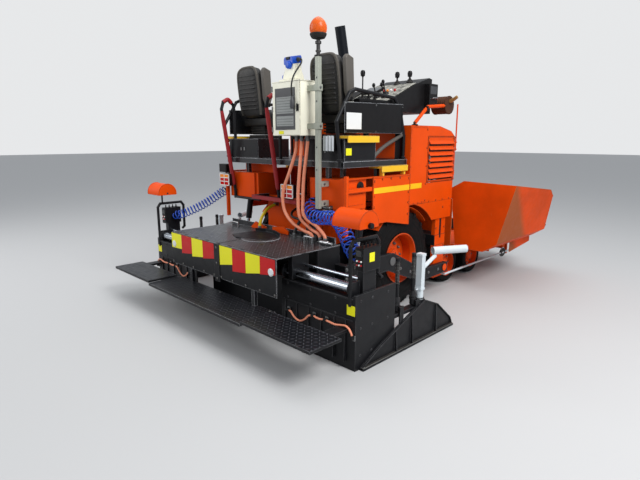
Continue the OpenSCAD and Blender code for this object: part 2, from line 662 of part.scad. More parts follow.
// Solid front wheel at front axle i, drawn on the right
module front_wheel(i) from_axle() translate([front_in + front_w / 2, front_y[i], front_r])
  rotate([0, 90, 0]) {
    h = front_w / 2;
    color(black) rotate_extrude($fn = 72) polygon([
      [150, -h + 6], [front_r - 12, -h], [front_r, -h + 14], [front_r, h - 14], [front_r - 12, h],
      [150, h - 6]]);
    color(orange) difference() {
      rotate_extrude($fn = 64) polygon([
        [0, h - 60], [60, h - 60], [70, h - 30], [76, h - 30], [90, h - 66], [138, h - 66],
        [142, h - 2], [150, h - 2], [150, -h + 2], [138, -h + 2], [128, h - 80], [0, h - 80]]);
    }
    color(orange) difference() {
      translate([0, 0, -h + 5]) cylinder(r = 60, h = 2 * h - 84);
      translate([0, 0, -h + 4]) cylinder(r = 30.3, h = 70);
    }
  }
module knuckle_right_rear() knuckle(0);
module knuckle_right_front() knuckle(1);
module knuckle_left_rear() mirror([1, 0, 0]) knuckle(0);
module knuckle_left_front() mirror([1, 0, 0]) knuckle(1);
module front_wheel_right_rear() front_wheel(0);
module front_wheel_right_front() front_wheel(1);
module front_wheel_left_rear() mirror([1, 0, 0]) front_wheel(0);
module front_wheel_left_front() mirror([1, 0, 0]) front_wheel(1);

module push_roller() color(pale) from_axle() {
  x_bar([90, 794], roller_y, roller_z, roller_r);
  x_bar([84.3, 90], roller_y, roller_z, 30);
  x_bar([794, 799.7], roller_y, roller_z, 30);
}
module push_roller_right() push_roller();
module push_roller_left() mirror([1, 0, 0]) push_roller();

// Hopper wing, drawn on the right: floor, outer wall and rear wall
wing_low = [1270, 468];
wing_knee = [1437, 578];
module hopper_wing() color(orange) from_axle() {
  t = plate_t;
  difference() {
    union() {
      translate([hinge_x, wing_y[0], hinge_z]) rotate([-90, 0, 0]) cylinder(r = 21, h = wing_len);
      bulkhead(wing_y[0], wing_len, [
        [hinge_x + 12, hinge_z - 14], wing_low, wing_knee, [wing_out, wing_top],
        [wing_out - t, wing_top], [wing_knee[0] - t, wing_knee[1] + 4],
        [wing_low[0] - 3, wing_low[1] + t], [hinge_x + 12, hinge_z - 14 + t]]);
    }
    translate([hinge_x, wing_y[0] - 1, hinge_z]) rotate([-90, 0, 0])
      cylinder(r = hinge_r + fit, h = wing_len + 2);
    // Front edge of the outer wall leans back
    wall(wing_out - 300, 400, [
      [wing_y[1] - 150, wing_top + 1], [wing_y[1] - 150, 1045], [wing_y[1] + 1, 575],
      [wing_y[1] + 1, wing_top + 1]]);
    wall(wing_out - 300, 400, [
      [wing_y[0], wing_top + 1], [wing_y[0], wing_top + 0.5], [wing_y[1] - 315, 1140],
      [wing_y[1] - 140, 1040], [wing_y[1], 1040], [wing_y[1], wing_top + 1]]);
  }
  // Lip below the floor's outer part
  wall(wing_low[0] - 24, 6, [[1900, 330], [wing_y[1] - 5, 386], [wing_y[1] - 5, 472], [1900, 472]]);
  bulkhead(wing_y[0], t, [
    [hinge_x + 12, hinge_z - 14], wing_low, wing_knee, [wing_out, wing_top], [985, 1279],
    [820, 1185], [hinge_x + 5, 545], [hinge_x + 12, 500]]);
}
module hopper_wing_right() hopper_wing();
module hopper_wing_left() mirror([1, 0, 0]) hopper_wing();

// Auger with its flights, drawn on the right
flight_pitch = 250;
flight_x = [85, 780];
auger_x = [62 + fit, 820];
module auger() color(dark) from_axle() translate([0, auger_y, auger_z]) {
  steps = 12;
  count = floor((flight_x[1] - flight_x[0]) / flight_pitch * steps);
  x_bar(auger_x, 0, 0, 38);
  // Each step has an inner and an outer point on both faces
  points = [for (i = [0:count], e = [[40, 0], [auger_r, 3], [auger_r, 11], [40, 14]])
    [flight_x[0] + i * flight_pitch / steps + e[1], e[0] * cos(360 * i / steps), e[0] * sin(360 * i / steps)]];
  polyhedron(points = points, faces = [
    [0, 2, 1], [0, 3, 2],
    for (i = [0:count - 1], k = [0:3]) each [
      [4 * i + k, 4 * i + 4 + (k + 1) % 4, 4 * i + 4 + k],
      [4 * i + k, 4 * i + (k + 1) % 4, 4 * i + 4 + (k + 1) % 4]],
    [4 * count, 4 * count + 1, 4 * count + 2], [4 * count, 4 * count + 2, 4 * count + 3]]);
}
module auger_right() auger();
module auger_left() mirror([1, 0, 0]) auger();

// Screed lift cylinders: barrels on the tractor, rods on the tow arms
lift_top = [hood_x - 52, -620, 1085];
lift_low = [hood_x - 52, -700, 600];
lift_dir = (lift_low - lift_top) / norm(lift_low - lift_top);
lift_len = norm(lift_low - lift_top);
module lift_barrels() color(black) from_axle() both() difference() {
  union() {
    bar(lift_top + 24 * lift_dir, lift_top + 258 * lift_dir, 34);
    x_bar([lift_top[0] - 17, lift_top[0] + 17], lift_top[1], lift_top[2], 26);
  }
  bar(lift_top + 38 * lift_dir, lift_top + 270 * lift_dir, 20 + fit);
  x_bar([lift_top[0] - 20, lift_top[0] + 20], lift_top[1], lift_top[2], 12 + fit);
}
module lift_rods() color(chrome) from_axle() both() difference() {
  union() {
    bar(lift_top + (lift_len - 246) * lift_dir, lift_low - 15 * lift_dir, 20);
    x_bar([lift_low[0] - 14, lift_low[0] + 14], lift_low[1], lift_low[2], 26);
  }
  x_bar([lift_low[0] - 30, lift_low[0] + 30], lift_low[1], lift_low[2], 18);
}

// Tow arms, outside the rear wheels
module tow_arms() color(black) from_axle() both() {
  difference() {
    wall(arm_x[0], arm_x[1] - arm_x[0], [
      [tow_pin[1] + 70, 250], [tow_pin[1] + 70, 350], [300, 360], [-261, 634], [-980, 634],
      [-980, 474], [-330, 474], [240, 240]]);
    x_bar([arm_x[0] - 1, arm_x[1] + 1], tow_pin[1], tow_pin[2], tow_pin_r + fit);
  }
  // Cross pieces that carry the base screed, and the lift cylinder's lower pin
  slab([base_w / 2 + fit, arm_x[0]], [-980, -920], [474, 634]);
  x_bar([lift_low[0] - 18, arm_x[0]], lift_low[1], lift_low[2], 12);
}

module base_screed() color(black) from_axle() {
  half = base_w / 2;
  // Screed box with its sole plate
  difference() {
    slab([-half, half], [-1205, -screed_front], [12, 470]);
    slab([-half + 8, half - 8], [-1197, -screed_front - 8], [30, 462]);
  }
  slab([-half, half], [-1205, -screed_front], [0, 12]);
  slab([-half, half], [-screed_front - 8, -screed_front], [470, 700]);
  both() {
    slab([half - 20, half], [-1200, -screed_front - 8], [470, deck_z - 8 - fit]);
    // Guide block of the extension's tubes
    difference() {
      slab([half - 54, half - 4], [-1500, -1310], [592, deck_z - 8 - fit]);
      x_bar([half - 60, half], guide_y, guide_z, guide_r + fit);
      x_bar([half - 60, half], guide_y + 90, rail_z, 14 + fit);
    }
  }
}

module screed_deck() color(dark) from_axle() {
  half = base_w / 2;
  slab([-half, half], [-deck_back, -screed_front], [deck_z - 8, deck_z]);
  slab([-half + 40, half - 40], [-930, -922], [deck_z, deck_z + 60]);
  slab([-half, half], [-deck_back, -deck_back + 8], [470, deck_z - 8]);
  // Walkway behind the base screed
  slab([69 - half, half - 69], [-walk_back, -1640], [300, 322]);
  both() slab([500, 540], [-deck_back + 8, -1640], [300, 600]);
  // Oval plate on the deck
  translate([90, -1230, deck_z]) cylinder(r = 190, h = 5);
}

module marker_panels() color("gold") from_axle() {
  half = base_w / 2;
  both() slab([42, half], [-deck_back - 6, -deck_back - fit], [480, deck_z - 4]);
  slab([-40, 40], [-deck_back - 14, -deck_back - fit], [440, deck_z]);
}

// Extending part, drawn on the right: beam, sole plate, end frame, posts and hoop
module extension() color(black) from_axle() {
  x0 = ext_in;
  x1 = gate_x - 20;
  slab([x0, x1], [ext_y[0], ext_y[0] + 100], [beam_low, beam_top]);
  slab([x0, x1], ext_y, [0, 60]);
  slab([x0, x1], [ext_y[0], ext_y[0] + 14], [60, beam_low]);
  slab([x1 - 20, x1], [ext_y[0], -1000], [60, guide_z - 28]);
  // Bracket at the guide tube's end
  slab([panel_x - 20, panel_x + 4], [-1496, -1394], [beam_top - 1, 700]);
  // Walkway plate and its arm
  slab([base_w / 2 - 64, gate_x + 12], [-walk_back, -1690], [322 + fit, 344]);
  slab([panel_x - 100, panel_x], [-1690, ext_y[0]], [322 + fit, 344]);
  // Threaded posts of the end gate
  slab([x1 - 70, x1], [-1000, -660], [300, 330]);
  for (y = post_y) translate([post_x, y, 330]) cylinder(r = 17, h = 440);
  // Foot of the control station
  slab([panel_x - 20, x1 - 20], [ext_y[0], ext_y[1]], [beam_top - 20, beam_top]);
  slab([panel_x - 20, x1 - 20], [-1394, -1240], [beam_top, 780]);
  slab([panel_x - 20, panel_x + 60], [-1420, -1220], [780, 960]);
  // Hoop and the pin of the hood
  translate([panel_x, 0, 0]) rail([[0, -1500, 520], [0, -1500, 980], [0, -1470, 1020], [0, -1200, 1020],
    [0, -1170, 980], [0, -1170, 720], [45, -1170, 690]], 15);
  translate([panel_x, hood_c[1], 1020]) cylinder(r = 9, h = hood_c[2] - 1020);
  x_bar([hood_c[0] - 135, hood_c[0] + 135], hood_c[1], hood_c[2], 9);
}
post_x = gate_x - 60;
post_y = [-925, -690];

module extension_right() extension();
module extension_left() mirror([1, 0, 0]) extension();

module guide_tubes() color(chrome) from_axle() {
  x_bar([ext_in, panel_x - 20 - fit], guide_y, guide_z, guide_r);
  x_bar([ext_in, panel_x - 20 - fit], guide_y + 90, rail_z, 14);
}

module guide_tubes_right() guide_tubes();
module guide_tubes_left() mirror([1, 0, 0]) guide_tubes();

// Half round hood over a control panel
hood_c = [panel_x - 10, -1440, 1150];
module station_hood() color(orange) from_axle() translate(hood_c) {
  difference() {
    x_bar([-135, 135], 0, 0, 108);
    x_bar([-131, 131], 0, 0, 103);
    x_bar([-140, 140], 0, 0, 9 + fit);
    translate([0, 0, -120]) cube([400, 400, 200], center = true);
  }
}

module station_hood_right() station_hood();
module station_hood_left() mirror([1, 0, 0]) station_hood();

gate_line = [[-1452, 20], [-1214, 139], [-594, 376], [-371, 284], [-136, 94], [-100, 20]];
module end_gate() color(black) from_axle() {
  x0 = gate_x - 14;
  wall(x0, 14, gate_line);
  // Ribs that stand on the shoe
  for (y = [-1010, -780, -400]) bulkhead(y - 5, 10, [
    [gate_x - 1, 19], [gate_x + 24, 19], [gate_x + 10, lookup(y, gate_line) - 16],
    [gate_x - 1, lookup(y, gate_line) - 16]]);
  slab([x0, gate_x + 26], [-1452, -100], [0, 20]);
  // Nut blocks that ride on the threaded posts
  for (y = post_y) {
    wall(x0, 14, [[y - 25, 200], [y - 25, 390], [y + 25, 390], [y + 25, 200]]);
    difference() {
      union() {
        translate([post_x, y, 345]) cylinder(r = 26, h = 45);
        slab([post_x, x0], [y - 15, y + 15], [345, 390]);
      }
      translate([post_x, y, 340]) cylinder(r = 17 + fit, h = 60);
    }
  }
  // Socket of the sensor arm
  slab([gate_x - 68, gate_x], [post_xy[1] - 35, post_xy[1] + 35], [330, 378]);
}

post_xy = [gate_x - 33, -620];
module end_gate_right() end_gate();
module end_gate_left() mirror([1, 0, 0]) end_gate();

module sensor_arm() color(pale) from_axle() translate([post_xy[0], post_xy[1], 0]) {
  translate([0, 0, 378 + fit]) cylinder(r = 32, h = 90);
  slab([-28, 28], [-28, 28], [460, 790]);
  bar([0, 0, 640], [-40, 292, 712], 18);
  difference() {
    bar([-55, 274, 760], [115, 576, 760], 36);
    bar([-56, 272, 760], [116, 578, 760], 30);
  }
}

module sensor_arm_right() sensor_arm();
module sensor_arm_left() mirror([1, 0, 0]) sensor_arm();

chassis_frame();
conveyor();
engine_block();
running_gear();
hopper_body();
engine_hood();
side_panels();
rear_tanks();
platform();
yellow_steps();
handrails();
console();
seats();
seat_cushions();
electrical_box();
mast();
exhaust_stack();
muffler();
lamps();
guide_rod();
hoses();
coils();
service_door_left();
service_door_right();
rear_tyre_left();
rear_rim_left();
rear_tyre_right();
rear_rim_right();
knuckle_left_rear();
knuckle_left_front();
knuckle_right_rear();
knuckle_right_front();
front_wheel_left_rear();
front_wheel_left_front();
front_wheel_right_rear();
front_wheel_right_front();
push_roller_left();
push_roller_right();
hopper_wing_left();
hopper_wing_right();
auger_left();
auger_right();
lift_barrels();
lift_rods();
tow_arms();
base_screed();
screed_deck();
marker_panels();
extension_left();
extension_right();
guide_tubes_left();
guide_tubes_right();
station_hood_left();
station_hood_right();
end_gate_left();
end_gate_right();
sensor_arm_left();
sensor_arm_right();
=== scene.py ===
"""Finishes and details of a wheeled asphalt paver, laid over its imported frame.

Lengths in the drawing functions are millimetres counted from the rear axle: X to the machine's right,
Y forward, Z up from the ground. Every finished mesh is in metres in the frame's own axes.
"""

import math  # noqa: E402

import bmesh  # noqa: E402
import bpy  # noqa: E402
from bpy.props import FloatProperty, FloatVectorProperty, IntProperty, PointerProperty  # noqa: E402
from mathutils import Matrix, Vector  # noqa: E402


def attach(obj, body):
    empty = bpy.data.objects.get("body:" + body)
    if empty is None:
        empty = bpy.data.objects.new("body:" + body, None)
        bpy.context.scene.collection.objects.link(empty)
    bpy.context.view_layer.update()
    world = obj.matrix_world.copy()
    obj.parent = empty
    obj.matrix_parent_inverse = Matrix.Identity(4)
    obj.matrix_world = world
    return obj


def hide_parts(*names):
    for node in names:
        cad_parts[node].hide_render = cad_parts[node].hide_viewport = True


bl_info = {
    "name": "Asphalt paver finishes",
    "version": (1, 0, 0),
    "blender": (4, 5, 0),
    "location": "3D View > Sidebar > Paver",
    "description": "Builds the finishes and details of a wheeled asphalt paver over its frame",
    "category": "Object",
}

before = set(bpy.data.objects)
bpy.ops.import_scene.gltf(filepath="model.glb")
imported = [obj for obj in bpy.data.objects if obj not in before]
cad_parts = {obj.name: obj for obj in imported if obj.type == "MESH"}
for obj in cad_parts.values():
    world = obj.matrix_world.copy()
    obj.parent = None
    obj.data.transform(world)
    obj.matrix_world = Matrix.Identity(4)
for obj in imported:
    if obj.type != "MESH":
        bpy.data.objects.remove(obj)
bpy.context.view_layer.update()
AXLE_Y = 0.474  # how far the rear axle stands behind the origin, in metres
ROOT = "tractor"
SIDES = (("right", 1), ("left", -1))
TURN = 2 * math.pi
WELD = 0.01  # points closer than this, in millimetres, are one


def at(x, y, z):
    """A point given in millimetres from the rear axle, in the frame's metres."""
    return Vector((x / 1000, y / 1000 - AXLE_Y, z / 1000))


def linear(code):
    """The linear colour of a six digit screen colour."""
    parts = [int(code[i : i + 2], 16) / 255 for i in (0, 2, 4)]
    return tuple(c / 12.92 if c < 0.04045 else ((c + 0.055) / 1.055) ** 2.4 for c in parts)


# ---- drawing


def anticlockwise(points):
    area = sum(p[0] * q[1] - q[0] * p[1] for p, q in zip(points, points[1:] + points[:1]))
    return points[::-1] if area < 0 else points


class Shape:
    """A mesh drawn in millimetres from the rear axle, with a finish number for each face."""

    def __init__(self):
        self.mesh, self.finish = bmesh.new(), 0

    def paint(self, number):
        """What is drawn next has this number's finish."""
        self.finish = number
        return self

    def _face(self, verts):
        self.mesh.faces.new(verts).material_index = self.finish

    def _faces(self, verts, faces):
        made = [self.mesh.verts.new(v) for v in verts]
        for f in faces:
            self._face([made[i] for i in f])
        return self

    def box(self, x0, x1, y0, y1, z0, z1):
        """A block between two values on each axis."""
        v = [((x0, x1)[i & 1], (y0, y1)[i >> 1 & 1], (z0, z1)[i >> 2]) for i in range(8)]
        return self._faces(
            v, [(0, 2, 3, 1), (4, 5, 7, 6), (0, 1, 5, 4), (2, 6, 7, 3), (0, 4, 6, 2), (1, 3, 7, 5)]
        )

    def boxes(self, *all_of_them):
        for spans in all_of_them:
            self.box(*spans)
        return self

    def prism(self, points, axis, a, b):
        """A flat outline, either way round, drawn out along one axis from a to b."""
        order = {"x": (2, 0, 1), "y": (0, 2, 1), "z": (0, 1, 2)}[axis]
        points = anticlockwise(points)
        n, verts = len(points), []
        for c in (a, b):
            for p in points:
                full = (p[0], p[1], c)
                verts.append(tuple(full[k] for k in order))
        faces = [tuple(range(n))[::-1], tuple(range(n, 2 * n))]
        faces += [(i, (i + 1) % n, n + (i + 1) % n, n + i) for i in range(n)]
        flip = (axis == "y") != (b < a)
        return self._faces(verts, [f[::-1] for f in faces] if flip else faces)

    def loft(self, rings, close=True):
        """Rings of as many points each, joined in order; close caps both ends."""
        n, verts = len(rings[0]), [p for r in rings for p in r]
        faces = [
            (k * n + i, k * n + (i + 1) % n, (k + 1) * n + (i + 1) % n, (k + 1) * n + i)
            for k in range(len(rings) - 1) for i in range(n)
        ]
        if close:
            faces += [tuple(range(n))[::-1], tuple(range((len(rings) - 1) * n, len(rings) * n))]
        return self._faces(verts, faces)

    def strips(self, line, x0, x1, low, high):
        """Flat bars along (y, z) points, from x0 to x1 and from low to high about the line."""
        for ends in zip(line, line[1:]):
            self.loft([
                [(x0, y, z + low), (x1, y, z + low), (x1, y, z + high), (x0, y, z + high)] for y, z in ends
            ])
        return self

    def tube(self, points, r, sides=12, close=True):
        """A round bar or pipe along points; r is one radius or one for each point."""
        pts = [Vector(p) for p in points]
        radii = r if isinstance(r, (list, tuple)) else [r] * len(pts)
        rings, side = [], None
        for i, p in enumerate(pts):
            ahead = (pts[min(i + 1, len(pts) - 1)] - pts[max(i - 1, 0)]).normalized()
            if side is None:
                side = ahead.orthogonal().normalized()
            side = (side - ahead * side.dot(ahead)).normalized()
            up = ahead.cross(side)
            angles = (TURN * k / sides for k in range(sides))
            rings.append([p + radii[i] * (side * math.cos(a) + up * math.sin(a)) for a in angles])
        return self.loft(rings, close)

    def bend(self, points, per, r, sides):
        """A tube along a smooth line through points, with per steps to each span."""
        return self.tube(smoothed(points, per), r, sides)

    def rod(self, p, q, r, sides=20):
        return self.tube([p, q], r, sides)

    def lathe(self, profile, centre, axis="x", sides=48, closed=None):
        """Turns (along, radius) points about an axis through centre. A profile that doesn't end on
        the axis is a ring's closed section, unless closed is False."""
        c, order = Vector(centre), {"x": (0, 1, 2), "y": (1, 2, 0), "z": (2, 0, 1)}[axis]
        closed = profile[-1][1] > 0 if closed is None else closed
        profile, rings = anticlockwise(profile), []
        for a in (TURN * k / sides for k in range(sides)):
            ring = []
            for along, radius in profile:
                v = [0, 0, 0]
                v[order[0]], v[order[1]], v[order[2]] = along, radius * math.cos(a), radius * math.sin(a)
                ring.append(self.mesh.verts.new(c + Vector(v)))
            rings.append(ring)
        n = len(profile)
        for one, two in zip(rings, rings[1:] + rings[:1]):
            for i in range(n if closed else n - 1):
                j = (i + 1) % n
                self._face((one[i], two[i], two[j], one[j]))
        return self

    def disc(self, a, b, r, centre, axis="x", sides=48):
        """A round plate or pin from a to b along the axis."""
        return self.lathe([(a, 0), (a, r), (b, r), (b, 0)], centre, axis, sides)

    def collar(self, a, b, inner, outer, centre, axis="x", sides=48):
        """A plain ring from a to b along the axis."""
        return self.lathe([(a, inner), (a, outer), (b, outer), (b, inner)], centre, axis, sides)

    def ball(self, centre, r, squash=(1, 1, 1), rings=12):
        made = bmesh.ops.create_uvsphere(self.mesh, u_segments=2 * rings, v_segments=rings, radius=r)
        for v in made["verts"]:
            v.co = Vector(centre) + Vector(v.co[k] * squash[k] for k in range(3))
            for f in v.link_faces:
                f.material_index = self.finish
        return self

    def mirrored(self):
        """Adds the same shape on the other side of the machine."""
        mesh = self.mesh
        copy = bmesh.ops.duplicate(mesh, geom=[*mesh.verts, *mesh.edges, *mesh.faces])["geom"]
        for v in (g for g in copy if isinstance(g, bmesh.types.BMVert)):
            v.co.x = -v.co.x
        bmesh.ops.reverse_faces(mesh, faces=[g for g in copy if isinstance(g, bmesh.types.BMFace)])
        return self

    def place(self, name, body, finishes, replaces="", side=1, **more):
        """Makes the object, in metres, and lets it ride on its body. side -1 is the mirror image."""
        mesh = bpy.data.meshes.new(name)
        work = self.mesh.copy()
        bmesh.ops.remove_doubles(work, verts=work.verts, dist=WELD)
        for v in work.verts:
            v.co = at(v.co.x * side, v.co.y, v.co.z)
        bmesh.ops.recalc_face_normals(work, faces=work.faces)
        work.to_mesh(mesh)
        work.free()
        return finish_piece(mesh, name, body, finishes, replaces, **more)

    def pair(self, name, body, finishes, replaces="", **more):
        """A right and a left object; a body that moves and replaces are named up to _right or _left."""
        for word, side in SIDES:
            node = f"{replaces}_{word}" if replaces else ""
            self.place(f"{name}_{word}", own_body(body, word), finishes, node, side, **more)


def own_body(body, word):
    return body if body in (ROOT, "screed") else f"{body}_{word}"


def finish_piece(mesh, name, body, finishes, replaces="", bevel=0.0, angle=35, subdivide=0):
    """Finishes a mesh that is already in place: materials, rounded edges, smooth faces, its body."""
    made = bpy.data.objects.new(name, mesh)
    bpy.context.scene.collection.objects.link(made)
    if not mesh.materials:
        for m in finishes.split():
            mesh.materials.append(finish(m))
    mesh.shade_smooth()
    mesh.set_sharp_from_angle(angle=math.radians(angle))
    if subdivide:
        more = made.modifiers.new("smooth", "SUBSURF")
        more.levels = more.render_levels = subdivide
    if bevel:
        edges = made.modifiers.new("rounded edges", "BEVEL")
        edges.width, edges.segments, edges.limit_method = bevel / 1000, 2, "ANGLE"
        edges.angle_limit = math.radians(angle)
        edges.use_clamp_overlap, edges.harden_normals = True, False
    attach(made, body)
    if replaces:
        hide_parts(*replaces.split())
    return made


# ---- repeats, in Geometry Nodes


def once(name, kind, inputs, outputs):
    """A node group with named sockets, filled in by the function when it is first used."""

    def wrap(fill):
        def find():
            group = bpy.data.node_groups.get(name)
            if group is None:
                group = bpy.data.node_groups.new(name, kind)
                for label, socket_kind, *value in inputs:
                    made = group.interface.new_socket(
                        label, in_out="INPUT", socket_type=f"NodeSocket{socket_kind}"
                    )
                    if value:
                        made.default_value = value[0]
                for label, socket_kind in outputs:
                    socket = f"NodeSocket{socket_kind}"
                    group.interface.new_socket(label, in_out="OUTPUT", socket_type=socket)
                source, end = group.nodes.new("NodeGroupInput"), group.nodes.new("NodeGroupOutput")
                for socket, value in fill(group, source.outputs).items():
                    group.links.new(value, end.inputs[socket])
            return group

        return find

    return wrap


def repeater(name, *inputs):
    """A Geometry Nodes tree that ends in real geometry with its material."""
    inputs = [("Geometry", "Geometry"), *inputs, ("Material", "Material")]

    def wrap(fill):
        def whole(tree, given):
            real = add_node(tree, "GeometryNodeRealizeInstances", {0: fill(tree, given)})
            values = {"Geometry": real.outputs[0], "Material": given["Material"]}
            return {0: add_node(tree, "GeometryNodeSetMaterial", values).outputs[0]}

        return once(name, "GeometryNodeTree", inputs, [("Geometry", "Geometry")])(whole)

    return wrap


def add_node(tree, kind, inputs=None, **settings):
    """A node with its settings made and its inputs set or linked."""
    made = tree.nodes.new(kind)
    for key, value in settings.items():
        setattr(made, key, value)
    for key, value in (inputs or {}).items():
        if isinstance(value, bpy.types.NodeSocket):
            tree.links.new(value, made.inputs[key])
        else:
            made.inputs[key].default_value = value
    return made


def sum_of(tree, kind, a, b=None, c=None, clamp=False):
    """One sum of a Math node; returns its output."""
    values = {i: v for i, v in enumerate((a, b, c)) if v is not None}
    return add_node(tree, "ShaderNodeMath", values, operation=kind, use_clamp=clamp).outputs[0]


def instances(tree, points, item, **more):
    values = {"Points": points, "Instance": item, **more}
    return add_node(tree, "GeometryNodeInstanceOnPoints", values).outputs[0]


@repeater("row of like parts", ("Count", "Int"), ("Step", "Vector"))
def tree_row(tree, given):
    """One item repeated Count times, each a Step on from the last."""
    values = {"Count": given["Count"], "Offset": given["Step"]}
    line = add_node(tree, "GeometryNodeMeshLine", values, mode="OFFSET")
    return instances(tree, line.outputs[0], given["Geometry"])


@repeater(
    "ring of like parts", ("Count", "Int"), ("Centre", "Vector"), ("Axis", "Vector"), ("Start", "Float")
)
def tree_ring(tree, given):
    """One item repeated Count times round an axis through Centre, along Axis."""
    places = add_node(tree, "GeometryNodePoints", {"Count": given["Count"], "Position": given["Centre"]})
    number = add_node(tree, "GeometryNodeInputIndex").outputs[0]
    share = sum_of(tree, "DIVIDE", number, given["Count"])
    turn = sum_of(tree, "MULTIPLY_ADD", share, TURN, given["Start"])
    spin = add_node(tree, "FunctionNodeAxisAngleToRotation", {"Axis": given["Axis"], "Angle": turn})
    return instances(tree, places.outputs[0], given["Geometry"], Rotation=spin.outputs[0])


@repeater("bolt heads", ("Radius", "Float"), ("Height", "Float"))
def tree_bolts(tree, given):
    """A six sided head with its washer on every point, standing along the point's aim."""

    def drum(corners, radius, height):
        values = {"Vertices": corners, "Radius": radius, "Depth": height}
        return add_node(tree, "GeometryNodeMeshCylinder", values).outputs[0]

    aim = add_node(tree, "GeometryNodeInputNamedAttribute", {"Name": "aim"}, data_type="FLOAT_VECTOR")
    turn = add_node(tree, "FunctionNodeAlignRotationToVector", {"Vector": aim.outputs[0]}, axis="Z")
    wide = sum_of(tree, "MULTIPLY", given["Radius"], 1.45)
    thin = sum_of(tree, "MULTIPLY", given["Height"], 0.35)
    lift = add_node(tree, "ShaderNodeCombineXYZ", {"Z": thin}).outputs[0]
    head = drum(6, given["Radius"], given["Height"])
    raised = add_node(tree, "GeometryNodeTransform", {"Geometry": head, "Translation": lift}).outputs[0]
    both = tree.nodes.new("GeometryNodeJoinGeometry")
    tree.links.new(raised, both.inputs[0])
    tree.links.new(drum(14, wide, thin), both.inputs[0])
    return instances(tree, given["Geometry"], both.outputs[0], Rotation=turn.outputs[0])


def evaluated(made, name):
    """The plain mesh of an object with its modifiers."""
    bpy.context.view_layer.update()
    found = made.evaluated_get(bpy.context.evaluated_depsgraph_get())
    mesh = bpy.data.meshes.new_from_object(found)
    mesh.name = name
    return mesh


def grown(mesh, tree, values, name):
    """The plain mesh that a Geometry Nodes tree makes of a mesh."""
    carrier = bpy.data.objects.new(name, mesh)
    bpy.context.scene.collection.objects.link(carrier)
    step = carrier.modifiers.new("repeat", "NODES")
    step.node_group = tree
    for item in tree.interface.items_tree:
        if item.in_out == "INPUT" and item.name in values:
            step[item.identifier] = values[item.name]
    made = evaluated(carrier, name)
    carrier.modifiers.remove(step)
    bpy.data.objects.remove(carrier)
    return made


def item_mesh(shape, centre=None):
    """A drawn item in metres, about centre (or about the machine's own origin)."""
    mesh, work = bpy.data.meshes.new("item"), shape.mesh.copy()
    bmesh.ops.remove_doubles(work, verts=work.verts, dist=WELD)
    bmesh.ops.recalc_face_normals(work, faces=work.faces)
    for v in work.verts:
        v.co = (v.co - Vector(centre)) / 1000 if centre else at(*v.co)
    work.to_mesh(mesh)
    work.free()
    return mesh


def row(shape, count, step, name, body, coat, side=1, **more):
    """Repeats an item along a line. step is in millimetres."""
    values = {"Count": count, "Step": tuple(s / 1000 for s in step), "Material": finish(coat)}
    return mirror_mesh(grown(item_mesh(shape), tree_row(), values, name), side, name, body, coat, **more)


def ring(shape, count, centre, axis, name, body, coat, side=1, start=0.0, **more):
    """Repeats an item round an axis through centre."""
    values = {"Count": count, "Centre": tuple(at(*centre)), "Axis": axis, "Start": start}
    mesh = grown(item_mesh(shape, centre), tree_ring(), {**values, "Material": finish(coat)}, name)
    return mirror_mesh(mesh, side, name, body, coat, **more)


def ring_pair(shape, count, centre, axis, name, body, coat, start=0.0):
    """The same ring on the right and the left body."""
    for word, side in SIDES:
        ring(shape, count, centre, axis, f"{name}_{word}", own_body(body, word), coat, side, start)


def mirror_mesh(mesh, side, name, body, coat, **more):
    if side < 0:
        mesh.transform(Matrix.Diagonal((-1, 1, 1, 1)))
        mesh.flip_normals()
    return finish_piece(mesh, name, body, coat, **more)


def grid(aim, *spans):
    """Places for bolts at every meeting of the X, Y and Z values given, all with one aim."""
    xs, ys, zs = (s if isinstance(s, (tuple, range)) else (s,) for s in spans)
    return [(x, y, z, aim) for x in xs for y in ys for z in zs]


def bolts(places, name, body, coat="zinc", radius=9, height=8, side=1, both=False):
    """Bolt heads at (x, y, z, aim) places; aim is a word such as +x or -y."""
    mesh = bpy.data.meshes.new(name)
    if both:
        swap = {"+x": "-x", "-x": "+x"}
        places = list(places) + [(-x, y, z, swap.get(a, a)) for x, y, z, a in places]
    mesh.from_pydata([at(x * side, y, z) for x, y, z, _ in places], [], [])
    aim = mesh.attributes.new("aim", "FLOAT_VECTOR", "POINT")
    for i, (_, _, _, word) in enumerate(places):
        v = [0.0, 0.0, 0.0]
        v["xyz".index(word[1])] = 1.0 if word[0] == "+" else -1.0
        aim.data[i].vector = (v[0] * side, v[1], v[2])
    values = {"Radius": radius / 1000, "Height": height / 1000, "Material": finish(coat)}
    return finish_piece(grown(mesh, tree_bolts(), values, name), name, body, coat)


def bolt_pair(places, name, body, coat="zinc", radius=9, height=8):
    """The same bolts on the right and the left body."""
    for word, side in SIDES:
        bolts(places, f"{name}_{word}", own_body(body, word), coat, radius, height, side)


# ---- finishes


def object_place(tree):
    return add_node(tree, "ShaderNodeTexCoord").outputs["Object"]


def split(tree, vector):
    return add_node(tree, "ShaderNodeSeparateXYZ", {0: vector}).outputs


def facing(tree, which="True Normal"):
    """The X, Y and Z of the way that a face looks."""
    return split(tree, add_node(tree, "ShaderNodeNewGeometry").outputs[which])


def object_noise(tree, scale, detail=3.0, rough=0.55, stretch=None):
    """Noise on Object coordinates; scale is a number or a socket."""
    place = object_place(tree)
    if stretch:
        place = add_node(tree, "ShaderNodeMapping", {"Vector": place, "Scale": stretch}).outputs[0]
    values = {"Vector": place, "Scale": scale, "Detail": detail, "Roughness": rough}
    return add_node(tree, "ShaderNodeTexNoise", values).outputs[0]


def between(tree, value, low, high, to_low=0.0, to_high=1.0, kind="LINEAR"):
    """A value stretched so that low to high becomes to_low to to_high, and held there."""
    values = {"Value": value, "From Min": low, "From Max": high, "To Min": to_low, "To Max": to_high}
    return add_node(tree, "ShaderNodeMapRange", values, interpolation_type=kind).outputs[0]


